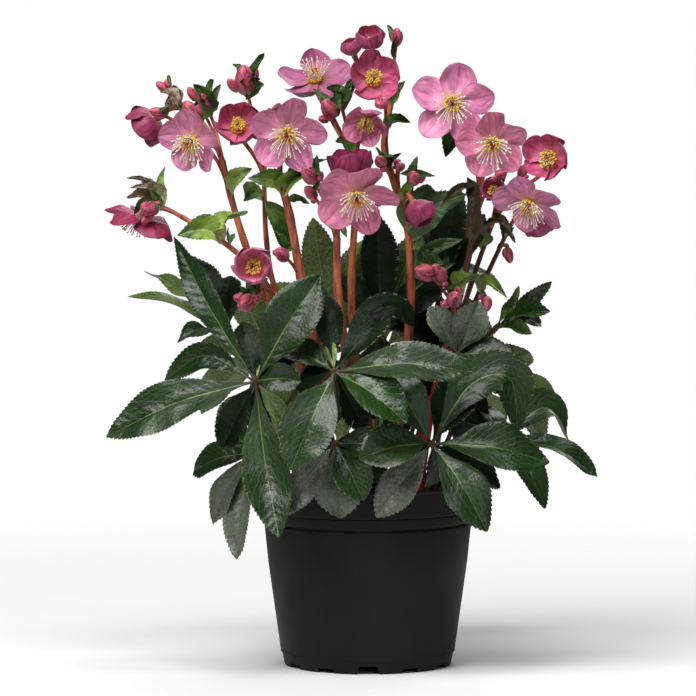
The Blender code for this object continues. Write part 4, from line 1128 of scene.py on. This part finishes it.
def leaf_form(width, length, teeth, start, settings, seed, crumple=1.0, swell=1.35):
    """The reach, lift, advance and thickness of a toothed leaf at share t along it and u across it."""
    depth = settings.tooth_depth / MM * min(1.0, length / 80 + 0.2)
    veins = max(4, length / 8)
    chance = random.Random(seed)
    phase, wave = chance.uniform(0, math.tau), chance.uniform(0.8, 2.0) * crumple
    keel, roll = chance.uniform(0.28, 0.52) * crumple, chance.uniform(0.0, 0.40)
    base = Vector((chance.random(), chance.random(), 0)) * 90

    def form(t, u):
        if t in (0.0, 1.0):
            return 0.0, 0.0, 0.0, 0.0
        half = width / 2 * leaflet_outline(t, swell)
        step = (t - start) / (1 - start) * teeth % 1.0
        tooth = step / TOOTH_PEAK if t >= start and step <= TOOTH_PEAK + 0.01 else 0.0
        edge = abs(u) ** 10
        fade = min(1.0, half / 6)
        off = abs(u) * half
        lift = keel * half * u * u - roll * half * u**4 * t - 0.7 * math.exp(-((off / 1.5) ** 2)) * fade
        slant = (t * veins - abs(u) * 1.1 * half / 9) % 1.0
        lift += 0.75 * math.sin(math.pi * slant) * fade * (1 - u**4) * min(1.0, off / 3)
        lift += wave * u * abs(u) * math.sin(math.tau * 1.6 * t + phase) * fade
        place = Vector((t * length, u * half, 0))
        lift += crumple * 2.8 * noise.noise(place / 22 + base) * fade * min(1.0, off / 3)
        lift += crumple * 0.18 * noise.noise(place / 5 - base) * fade * min(1.0, off / 2)
        thick = settings.thickness / MM * (1 - u * u) * min(1.0, half)
        thick += 1.0 * math.exp(-((off / 1.1) ** 2)) * (1.1 - t)
        return u * (half + depth * edge * tooth * fade), lift, depth * 0.8 * edge * tooth * fade, thick

    return form


def add_leaflet(shape, hub, facing, leaflet, settings, seed):
    tip, width, rise, tone, *bent = leaflet
    twist, between = bent or (0, ())
    tip = Vector(tip)
    root = hub + (tip - hub).normalized() * 0.8
    middle = [Vector(point) for point in between] or [(root + tip) / 2 + facing * rise]
    spine = [root] + middle + [tip]
    length = (tip - root).length
    start = LEAFLET_PLAIN_FOOT
    teeth = max(6, round(length * (1 - start) / (settings.tooth_gap / MM)))
    form = leaf_form(width, length, teeth, start, settings, seed, 1.0 if width > 20 else 1.7)
    inks = (LEAF_TONES.index(tone), UNDERSIDE)
    # The deep leaflets, painted shade in the thick of the plant, need fewer points across.
    across = LEAF_ACROSS[::2] if tone == "deep" else LEAF_ACROSS
    add_sheet(shape, spine, facing, tooth_stations(teeth, start), across, form, twist, inks)
    neck = [along(spine, t) - facing * 0.3 for t in (0.0, 0.04, 0.09, 0.15)]
    shape.tube(neck, [1.7, 1.3, 1.0, 0.5], 8, STALK)


# Each finish of the leaflets: how much painted grey sheen it has and how dull it is, how far its midrib
# reaches, its gloss, and how bright the midrib is. The last one is the underside.
LEAF_FINISHES = {
    "dark": (0.04, 0.35, 0.62, 0.44, 1.0),
    "fresh": (0.0, 0.30, 0.62, 0.55, 1.0),
    "silver": (0.26, 0.33, 0.62, 0.46, 1.0),
    "pale": (0.1, 0.42, 0.62, 0.55, 1.0),
    "dull": (0.45, 0.42, 0.62, 0.55, 0.8),
    # Deep: painted shade, near-black and with little gloss, for the leaflets in the shadow inside the plant.
    "deep": (0.0, 0.46, 0.62, 0.16, 0.20),
    "olive": (0.0, 0.44, 1.0, 0.3, 1.0),
    "lit": (0.0, 0.42, 1.0, 0.35, 1.0),
    "under": (0.1, 0.48, 1.0, 0.3, 1.0),
}
LEAF_TONES = tuple(LEAF_FINISHES)
UNDERSIDE, STALK = LEAF_TONES.index("under"), len(LEAF_TONES)


def leaf_materials(settings):
    made = []
    for tone, (*look, brightness) in LEAF_FINISHES.items():
        midrib = shade(settings.midrib, brightness)
        made.append(leaf_material(f"leaf {tone}", getattr(settings, tone), midrib, *look))
    stalk = settings.stalk
    return made + [stem_material("leaf stalk", stalk, shade(stalk, 0.5), shade(settings.midrib, 0.7))]


def make_leaf(name, leaf, settings, materials):
    hub, facing = Vector(leaf["hub"]), Vector(leaf["facing"]).normalized()
    stalk = rooted(leaf["foot"], leaf["stalk"]) + [hub]
    stalk.append(hub + (hub - stalk[-2]).normalized() * 3.2)
    shape = Shape()
    route, radii = [], []
    for step in range(STALK_STEPS + 1):
        route.append(along(stalk, step / STALK_STEPS))
        knot = math.exp(-(((step - STALK_STEPS + 1) / 1.6) ** 2))
        radii.append(2.1 + 0.5 * math.exp(-step / 4) + 0.9 * knot)
    radii[-1] = 1.6
    shape.tube(route, radii, 12, STALK)
    for number, leaflet in enumerate(leaf["leaflets"]):
        add_leaflet(shape, hub, facing, leaflet, settings, f"{name} {number}")
    dress(shape.make(f"{name}_blades", materials), "leaf_blade", name)


# Blooms

# Each finish of the sepals: its colour's name, how strong its markings are, and the colour of its throat
SEPAL_FINISHES = (
    ("lilac", 0.8, (0.80, 0.52, 0.32)),
    ("pink", 0.7, (0.80, 0.46, 0.30)),
    ("rose", 0.6, (0.66, 0.30, 0.22)),
    ("magenta", 0.4, (0.60, 0.22, 0.18)),
    ("mauve", 0.5, (0.60, 0.30, 0.24)),
    ("crimson", 0.3, (0.60, 0.12, 0.16)),
)
# Blooms whose own colour differs from the colour listed for them in BLOOMS
TINTS = {
    "bloom_04": "mauve", "bloom_13": "rose", "bloom_14": "pink", "bloom_15": "magenta",
    "bloom_16": "crimson", "bloom_17": "rose", "bloom_19": "rose", "bloom_20": "magenta",
}


def sepal_spine(length, opening, angle, radius):
    spread, base_spread = math.radians(opening), math.radians(min(opening + 24, 96))
    out = outward(angle)
    start = out * radius
    waist = start + (out * math.sin(base_spread) + UP * math.cos(base_spread)) * length * 0.5
    tip = start + (out * math.sin(spread) + UP * math.cos(spread)) * length
    facing = UP * math.sin(spread) - out * math.cos(spread)
    return [out * radius * 0.2, start, waist, tip], facing.normalized()


def sepal_form(width, length, cup, settings, chance):
    """The reach, lift, advance and thickness of a sepal at share t along it and u across it."""
    size = length / LARGE_SEPAL
    ripple = settings.ripple / MM * size * (1 - 0.6 * cup)
    phases = [chance.uniform(0, math.tau) for _ in range(2)]
    lean = chance.uniform(-0.06, 0.06)
    curl = chance.uniform(-1.6, 1.2) * size * (1 - cup) + 4.2 * size * cup
    base = Vector((chance.random(), chance.random(), 0)) * 70
    point, widest = chance.uniform(0.46, 0.64) - 0.10 * cup, 0.60 + 0.08 * cup
    keel = 0.12 + 0.28 * cup + chance.uniform(-0.04, 0.08)
    waves = chance.uniform(1.2, 2.2)

    def form(t, u):
        if t in (0.0, 1.0):
            return 0.0, curl * t, 0.0, 0.0
        half = width / 2 * sepal_outline(t, widest, point)
        side = 0 if u < 0 else 1
        lift = keel * half * u * u + curl * t**4
        lift += ripple * abs(u) ** 2.5 * t * math.sin(math.tau * waves * t + phases[side])
        lift -= 0.9 * size * math.exp(-((u / 0.12) ** 2)) * math.sin(math.pi * t)
        lift += 0.20 * math.cos(u * 15.0) * math.sin(math.pi * t) * (1 - u * u)
        place = Vector((t * length, u * half, 0))
        bumps = 2.0 * noise.noise(place / 12 + base) + 0.5 * noise.noise(place / 4 - base)
        lift += bumps * size * math.sin(math.pi * min(1.0, t * 0.9 + 0.05)) * (1 - 0.5 * cup)
        reach = u * half * (1 + 0.035 * math.sin(math.tau * 2.3 * t + phases[1 - side])) + lean * half
        return reach, lift, 0.0, settings.thickness / MM * (1 - u**4) * min(1.0, t * 8)

    return form


def sepal_stations(count=18):
    return [0.0, 0.03] + [math.sin(math.pi / 2 * step / count) for step in range(2, count)] + [0.9985, 1.0]


def make_bloom(name, settings, materials):
    """One bloom's five sepals and the thickened end of its stalk behind them."""
    _, _, length, opening, _, key = BLOOMS[name]
    place, basis = bloom_frame(name)
    chance = random.Random(name)
    size = min(1.0, length / LARGE_SEPAL)
    cup = max(0.0, math.cos(math.radians(opening)) * 1.1 - 0.1)
    width = length * (0.93 + 0.24 * cup)
    shape = Shape()
    for number in range(SEPALS):
        angle = math.tau * number / SEPALS + chance.uniform(-0.05, 0.05)
        spread = opening + chance.uniform(-7, 7) * (1 - 0.6 * cup)
        spine, facing = sepal_spine(length * chance.uniform(0.95, 1.04), spread, angle, 4.2 * size)
        spine = [place + basis @ (point + UP * 1.2) for point in spine]
        form = sepal_form(width * chance.uniform(0.90, 1.05), length, cup, settings, chance)
        tilt = (13 + chance.uniform(-6, 6)) * (1 - 0.7 * cup)
        add_sheet(shape, spine, basis @ facing, sepal_stations(), SEPAL_ACROSS, form, tilt, (0, 1))
    middles = [place + basis @ UP * far for far in (-0.3, 0.4, 1.6, 2.4)]
    shape.tube(middles, [2.0, 4.3 * size, 4.5 * size, 3.4 * size], 14, 1)
    tint = TINTS.get(name, key)
    dress(shape.make(f"{name}_sepals", [materials[tint], materials[tint + " back"]]), f"sepal_{key}", name)


def add_nectary(shape, place, basis, angle, radius, size):
    """A small curved horn of the ring round the stamens."""
    out = outward(angle)
    bow = ((0.72, 2.0), (0.98, 3.4), (1.22, 5.0), (1.32, 6.6), (1.22, 7.6))
    route = [place + basis @ (out * radius * far + UP * high * size) for far, high in bow]
    shape.tube(route, [0.6, 1.4 * size, 1.8 * size, 1.6 * size, 0.6], 8, 2, 0.8)


def add_stamen(shape, place, basis, share, angle, size, reach, opening, chance):
    """A thin filament that leans out and hangs a little, with a ripe cream or a young yellow anther."""
    ripe = opening > 60 and share > 0.48
    upward = (basis @ UP).z > 0.3
    lean = math.radians(6 + opening * (0.48 if upward else 0.78) * share)
    out = outward(angle)
    start = place + basis @ (out * 2.8 * size * share + UP * 2.6)
    way = basis @ (out * math.sin(lean) + UP * math.cos(lean))
    reach *= chance.uniform(0.86, 1.06) if ripe else chance.uniform(0.50, 0.68)
    droop = UP * reach * (0.2 if upward else -0.32) * share * min(1.0, opening / 80)
    route = [start + way * reach * t + droop * t * t for t in (0, 0.4, 0.75, 1.0)]
    shape.tube(route, [0.42, 0.38, 0.36, 0.34], 5, 0)
    end = (route[-1] - route[-2]).normalized()
    end = (end + end.orthogonal() * chance.uniform(-0.6, 0.6)).normalized()
    wide, long = (0.80, 1.9) if ripe else (1.0, 2.2)
    knob = [route[-1] + end * long * shift for shift in (-0.5, -0.15, 0.4, 0.75)]
    shape.tube(knob, [wide * 0.5, wide, wide * 0.95, wide * 0.4], 6, 0 if ripe else 1, 0.75)


def make_tuft(name, settings, materials):
    """The ring of nectaries, the stamens and the styles of one bloom."""
    _, _, length, opening, _, _ = BLOOMS[name]
    place, basis = bloom_frame(name)
    chance = random.Random(name + " tuft")
    size = min(1.0, length / LARGE_SEPAL)
    shape = Shape()
    count = round(settings.count * (1.0 if length > 24 else 0.55))
    for number in range(count):
        share = math.sqrt((number + 0.5) / count)
        angle = number * GOLDEN_ANGLE + chance.uniform(-0.2, 0.2)
        add_stamen(shape, place, basis, share, angle, size, settings.length / MM * size, opening, chance)
    for number in range(NECTARIES):
        angle = math.tau * (number + chance.uniform(-0.2, 0.2)) / NECTARIES
        add_nectary(shape, place, basis, angle, 5.0 * size, size)
    for number in range(STYLES):
        out = outward(math.tau * number / STYLES + 0.5)
        bow = [out * (1.0 + t * t * 2.2) * size + UP * (2.4 + t * 15.0 * size) for t in (0, 0.3, 0.6, 1.0)]
        shape.tube([place + basis @ point for point in bow], [1.3 * size, 0.8 * size, 0.36, 0.3], 6, 3)
    middles = [place + basis @ UP * far for far in (1.6, 2.6, 4.0)]
    shape.tube(middles, [3.8 * size, 3.6 * size, 1.4 * size], 12, 2)
    node = name.replace("bloom", "stamens")
    dress(shape.make(f"{node}_tuft", materials), "stamens", node if node in frame["nodes"] else name)


def bloom_materials(settings):
    made = {}
    for key, depth, throat in SEPAL_FINISHES:
        for side, factor in (("", 1.0), (" back", 0.66)):
            colour = shade(getattr(settings, key), factor)
            made[key + side] = sepal_material(f"sepal {key}{side}", colour, settings.vein, depth, throat)
    return made


def tuft_materials(settings):
    return [
        plain_material("filament", settings.filament, shade(settings.filament, 0.86)),
        plain_material("anther", settings.anther, shade(settings.anther, 0.72), 0.7, 900.0),
        plain_material("nectary", settings.nectary, (0.78, 0.64, 0.04)),
        plain_material("style", settings.style, shade(settings.style, 1.8)),
    ]


# Flower stems

BRACT_TONES = ("lime", "green", "sage", "brown", "spent")
BROWN_STEMS = ("flower_stem_8", "flower_stem_9", "flower_stem_10")


def bud_way(start, place):
    return ((place - start).normalized() + Vector((0, -0.5, -0.2))).normalized()


def add_bud(shape, place, way, radius, chance):
    """A pointed bud: sepals wrapped over each other, each with an edge that stands a little proud."""
    side = way.orthogonal().normalized()
    other = way.cross(side)
    turn, rows, places = chance.random(), [], []
    rings, steps, petals = 16, 45, 3
    long, lean = chance.uniform(2.9, 3.3), side * chance.uniform(-0.25, 0.25)
    for ring in range(rings + 1):
        t = ring / rings
        far = 2.0 * t**0.5 * (1 - t) ** 0.62
        middle = place + (way + lean * t) * radius * (long * t - 1.1)
        wraps = [(step / steps * petals + 0.6 * t + turn) % 1.0 for step in range(steps + 1)]
        row = []
        for angle, wrap in zip(turns(steps), wraps):
            seam = 0.86 + 0.16 * wrap**3 + 0.08 * math.sin(math.pi * wrap)
            row.append(middle + (side * math.cos(angle) + other * math.sin(angle)) * radius * far * seam)
        rows.append(row + [row[0].copy()])
        places.append([(wrap, 0.08 + 0.84 * t) for wrap in wraps])
    shape.grid(rows, places, 0)


def branch_route(start, way, end, arrive, steps=14):
    """A thin stalk's route, which leaves start along way and reaches end along arrive."""
    neck = end - arrive * 3
    reach = (neck - start).length * 0.4
    leave, meet = start + way * reach, neck - arrive * reach
    route = []
    for step in range(steps + 1):
        t = step / steps
        near = start * (1 - t) ** 3 + leave * 3 * t * (1 - t) ** 2
        route.append(near + meet * 3 * t * t * (1 - t) + neck * t**3)
    return route + [end]


def bract_form(width, length, teeth, settings, seed):
    """A bract's form: that of a leaf, folded along its middle, crumpled and with a curled end."""
    crumple = 1.8 * min(1.0, length / 30)
    plain = leaf_form(width, length, teeth, BRACT_PLAIN_FOOT, settings, seed, crumple, 0.72)
    chance = random.Random(seed)
    base = Vector((chance.random(), chance.random(), 0)) * 60
    fold, curl = chance.uniform(0.15, 0.75), chance.uniform(-0.30, 0.30)

    def form(t, u):
        reach, lift, ahead, thick = plain(t, u)
        rise = math.sin(math.pi * t) ** 0.6
        place = Vector((t * length, u * width / 2, 0))
        bumps = 0.17 * width * noise.noise(place / (0.35 * width) + base)
        lift += (bumps + fold * width / 2 * abs(u) ** 1.4) * rise + curl * length * t**3
        return reach * (1 - 0.3 * fold * abs(u)), lift, ahead, thick

    return form


def add_bract(shape, root, tip, width, settings, seed, ink, across=LEAF_ACROSS):
    """A crumpled, toothed bract."""
    way = tip - root
    facing = Vector((0.0, -0.8, 0.6))
    facing = (facing - way * facing.dot(way) / way.length_squared).normalized()
    spine = [root, (root + tip) / 2 + facing * way.length * 0.16 + UP * way.length * 0.10, tip]
    start = BRACT_PLAIN_FOOT
    teeth = max(4, round(way.length * (1 - start) / 3.0))
    form = bract_form(width, way.length, teeth, settings, seed)
    turn = random.Random(seed).uniform(-28, 28)
    add_sheet(shape, spine, facing, tooth_stations(teeth, start), across, form, turn, (ink, ink))


def add_cluster(skin, buds, bracts, place, arrive, size, leaves, chance):
    """Small buds and bracts beside a larger bud, on a short stalk of their own."""
    root = place - arrive * size * 1.2
    around = arrive.orthogonal().normalized()
    turn = chance.uniform(0, math.tau)
    for number in range(2 if size > 7 else 1):
        out = Matrix.Rotation(turn + number * 2.4, 3, arrive) @ around
        way = (arrive + out * chance.uniform(0.35, 0.75)).normalized()
        small = size * chance.uniform(0.46, 0.60)
        seat = root + (out * 0.75 + arrive * chance.uniform(0.1, 0.8)) * size
        skin.tube([root, (root + seat) / 2 + out * 0.8, seat], [0.9, 0.9, 1.1], 6, 1)
        add_bud(buds, seat + way * small * 0.9, way, small, chance)
    for number in range(3 if size > 6 else 1):
        out = Matrix.Rotation(turn + 1.3 + number * 2.2, 3, arrive) @ around
        long = size * chance.uniform(2.1, 3.0)
        tip = root + (arrive * 0.7 + out * chance.uniform(0.5, 1.0) + UP * 0.4) * long
        wide, seed = long * chance.uniform(0.42, 0.56), f"{turn} {number}"
        add_bract(bracts, root, tip, wide, leaves, seed, BRACT_TONES.index("green"), LEAF_ACROSS[::2])


def make_stem(name, stem, leaves, materials):
    """One flower stem with its branches, and its buds and bracts as pieces of their own."""
    route = rooted(stem["foot"], stem["route"])
    last = len(route) - 1
    chance = random.Random(name)
    skin, buds, bracts = Shape(), Shape(), Shape()
    steps = last * STEM_STEPS_TO_A_POINT
    fine = [along(route, step / steps) for step in range(steps + 1)]
    radii = []
    for step, point in enumerate(fine):
        share = step / steps
        knee = sum(math.exp(-(((point - joint).length / 5) ** 2)) for joint in route[3:])
        radii.append(stem["radius"] * (1.1 - 0.5 * share) * (1 + 0.12 * knee))
    skin.tube(fine, radii, 16, 0)
    ways = [(b - a).normalized() for a, b in zip(route, route[1:])]
    ways.append(ways[-1])
    ends, twigs = [], fine[STEM_STEPS_TO_A_POINT:]
    for index, bloom in stem["blooms"]:
        place, basis = bloom_frame(bloom)
        ends.append((index, place, basis @ UP, 1.9))
    for kind in ("buds", "lone buds"):
        for index, place, size in stem.get(kind, []):
            place = Vector(place)
            arrive = bud_way(route[index + 2], place)
            ends.append((index, place - arrive * size * 0.6, arrive, 1.3))
            add_bud(buds, place, arrive, size, chance)
            if kind == "buds":
                add_cluster(skin, buds, bracts, place, arrive, size, leaves, chance)
    for number, (index, end, arrive, thick) in enumerate(ends):
        way = ways[index + 1]
        start = route[index + 2] - way * 5 * (number + 0.4)
        path = branch_route(start, way, end, arrive)
        wider = max(0.0, stem["radius"] * 0.58 - thick)
        flare = [
            thick * (1 + 0.5 * math.exp(-((len(path) - 1 - step) / 1.5))) + wider * math.exp(-step / 4)
            for step in range(len(path))
        ]
        skin.tube(path, flare, 10, 1)
        twigs += path
    for number, (near, tip, width, tone) in enumerate(stem["bracts"]):
        near = Vector(near)
        root = min(twigs, key=lambda point: (point - near).length)
        seed = f"{name} bract {number}"
        add_bract(bracts, root, Vector(tip), width, leaves, seed, BRACT_TONES.index(tone))
    skins = materials["brown stem" if name in BROWN_STEMS else "stem"], materials["branch"]
    dress(skin.make(f"{name}_skin", skins), "stem_skin", name)
    dress(buds.make(f"{name}_buds", [materials["bud"]]), "sepal_rose", name)
    dress(bracts.make(f"{name}_bracts", materials["bracts"]), "leaf_blade", name)


# Stage


# Each light: its place, the height on the axis that it points to, its size and its colour
LIGHTS = {
    "key": ((-1.1, -1.5, 2.2), 0.3, 1.5, (1.0, 0.98, 0.95)),
    "top": ((0.25, -1.1, 2.5), 0.3, 0.9, (1.0, 1.0, 1.0)),
    "fill": ((0.9, -2.6, 0.9), 0.28, 1.6, (0.96, 0.98, 1.0)),
    "back": ((0.6, 1.6, 1.9), 0.35, 1.4, (1.0, 1.0, 1.0)),
}


def area_light(name, power):
    place, height, size, colour = LIGHTS[name]
    light = bpy.data.lights.new(name, "AREA")
    light.shape = "SQUARE"
    light.size = size
    light.energy = power
    light.color = colour
    lamp = add_object(name, light)
    lamp.location = place
    lamp.rotation_mode = "QUATERNION"
    lamp.rotation_quaternion = (Vector((0, 0, height)) - Vector(place)).to_track_quat("-Z", "Y")


def make_world(strength):
    """White behind the object, and a softer light from all round."""
    world = bpy.data.worlds.new("studio")
    world.use_nodes = True
    nodes, links = world.node_tree.nodes, world.node_tree.links
    nodes.clear()
    seen, light = nodes.new("ShaderNodeBackground"), nodes.new("ShaderNodeBackground")
    seen.inputs["Color"].default_value = (1.0, 1.0, 1.0, 1.0)
    light.inputs["Strength"].default_value = strength
    path, mix = nodes.new("ShaderNodeLightPath"), nodes.new("ShaderNodeMixShader")
    out = nodes.new("ShaderNodeOutputWorld")
    links.new(path.outputs["Is Camera Ray"], mix.inputs[0])
    links.new(light.outputs[0], mix.inputs[1])
    links.new(seen.outputs[0], mix.inputs[2])
    links.new(mix.outputs[0], out.inputs["Surface"])
    bpy.context.scene.world = world


def make_floor(colour):
    """A pale floor that fades into the white surroundings."""
    mesh = bpy.data.meshes.new("floor")
    corners = ((-1, -1), (1, -1), (1, 1), (-1, 1))
    mesh.from_pydata([(x * FLOOR_REACH, y * FLOOR_REACH, 0) for x, y in corners], [], [(0, 1, 2, 3)])
    paint = Paint("floor", 0.9, Specular_IOR_Level=0.1)
    body = paint.mix(paint.noise(3.0), tuple(colour), shade(colour, 0.985))
    far = paint.node("VectorMath", {0: paint.here}, operation="LENGTH").outputs["Value"]
    paint.put(paint.shader.inputs["Alpha"], paint.fade(far, 0.30, 1.3))
    mesh.materials.append(paint.finish(body))
    add_object("floor", mesh)


def make_camera(lens):
    camera = bpy.data.cameras.new("camera")
    camera.lens = lens
    camera.sensor_width = 36.0
    camera.clip_end = 100.0
    seat = add_object("camera", camera)
    seat.location = CAMERA_PLACE
    seat.rotation_euler = (CAMERA_PITCH, 0.0, 0.0)
    bpy.context.scene.camera = seat


def make_stage(settings):
    make_floor(settings.floor)
    make_world(settings.world)
    for name in LIGHTS:
        area_light(name, getattr(settings, name))
    make_camera(settings.lens)
    bpy.context.scene.view_settings.view_transform = "Standard"


# Operators and panel


class HELLEBORE_OT_pot(bpy.types.Operator):
    """Makes the nursery pot"""

    bl_idname = "hellebore.pot"
    bl_label = "Pot"

    def execute(self, context):
        make_pot(context.scene.hellebore.pot)
        return {"FINISHED"}


class HELLEBORE_OT_soil(bpy.types.Operator):
    """Makes the potting mix in the pot"""

    bl_idname = "hellebore.soil"
    bl_label = "Potting mix"

    def execute(self, context):
        make_soil(context.scene.hellebore.soil)
        return {"FINISHED"}


class HELLEBORE_OT_stems(bpy.types.Operator):
    """Makes the flower stems with their branches, buds and bracts"""

    bl_idname = "hellebore.stems"
    bl_label = "Flower stems"

    def execute(self, context):
        settings = context.scene.hellebore
        stems, blooms = settings.stems, settings.blooms
        skin, brown, speckle, blush = stems.skin, stems.brown, stems.speckle, stems.blush
        materials = {
            "stem": stem_material("stem skin", skin, stems.shade, speckle, blush),
            "branch": stem_material("branch skin", shade(skin, 0.8), shade(blush, 0.7), speckle),
            "brown stem": stem_material("brown stem skin", brown, shade(brown, 0.4), speckle, blush),
            "bud": bud_material("bud", blooms.bud_light, blooms.bud_dark, (0.42, 0.36, 0.15)),
            "bracts": bract_materials(stems),
        }
        for name, stem in STEMS.items():
            make_stem(name, stem, settings.leaves, materials)
        return {"FINISHED"}


class HELLEBORE_OT_leaves(bpy.types.Operator):
    """Makes the toothed leaves"""

    bl_idname = "hellebore.leaves"
    bl_label = "Leaves"

    def execute(self, context):
        settings = context.scene.hellebore.leaves
        materials = leaf_materials(settings)
        for name, leaf in LEAVES.items():
            make_leaf(name, leaf, settings, materials)
        return {"FINISHED"}


class HELLEBORE_OT_blooms(bpy.types.Operator):
    """Makes the sepals of the blooms"""

    bl_idname = "hellebore.blooms"
    bl_label = "Blooms"

    def execute(self, context):
        settings = context.scene.hellebore.blooms
        materials = bloom_materials(settings)
        for name in BLOOMS:
            make_bloom(name, settings, materials)
        return {"FINISHED"}


class HELLEBORE_OT_stamens(bpy.types.Operator):
    """Makes the tuft in the middle of each bloom"""

    bl_idname = "hellebore.stamens"
    bl_label = "Stamens"

    def execute(self, context):
        settings = context.scene.hellebore.stamens
        materials = tuft_materials(settings)
        for name in BLOOMS:
            make_tuft(name, settings, materials)
        return {"FINISHED"}


class HELLEBORE_OT_stage(bpy.types.Operator):
    """Makes the floor, the lights and the camera"""

    bl_idname = "hellebore.stage"
    bl_label = "Studio"

    def execute(self, context):
        make_stage(context.scene.hellebore.studio)
        return {"FINISHED"}


class HELLEBORE_PT_panel(bpy.types.Panel):
    """The operators, with the settings of each"""

    bl_label = "Potted Hellebore"
    bl_idname = "HELLEBORE_PT_panel"
    bl_space_type = "VIEW_3D"
    bl_region_type = "UI"
    bl_category = "Hellebore"

    def draw(self, context):
        settings = context.scene.hellebore
        for group, operator in PANEL_ROWS.items():
            box = self.layout.box()
            box.operator(operator.bl_idname)
            values = getattr(settings, group)
            for key in values.bl_rna.properties.keys():
                if key not in ("name", "rna_type"):
                    box.prop(values, key)


PANEL_ROWS = {
    "pot": HELLEBORE_OT_pot, "soil": HELLEBORE_OT_soil, "stems": HELLEBORE_OT_stems,
    "leaves": HELLEBORE_OT_leaves, "blooms": HELLEBORE_OT_blooms, "stamens": HELLEBORE_OT_stamens,
    "studio": HELLEBORE_OT_stage,
}

CLASSES = (
    HelleborePot, HelleboreSoil, HelleboreStems, HelleboreLeaves, HelleboreBlooms, HelleboreStamens,
    HelleboreStudio, HelleboreSettings, *PANEL_ROWS.values(), HELLEBORE_PT_panel,
)


def register():
    for cls in CLASSES:
        bpy.utils.register_class(cls)
    bpy.types.Scene.hellebore = PointerProperty(type=HelleboreSettings)


def unregister():
    del bpy.types.Scene.hellebore
    for cls in reversed(CLASSES):
        bpy.utils.unregister_class(cls)


def main():
    register()
    bpy.ops.hellebore.pot()
    bpy.ops.hellebore.soil()
    bpy.ops.hellebore.stems()
    bpy.ops.hellebore.leaves()
    bpy.ops.hellebore.blooms()
    bpy.ops.hellebore.stamens()
    bpy.ops.hellebore.stage()


if __name__ == "__main__":
    main()
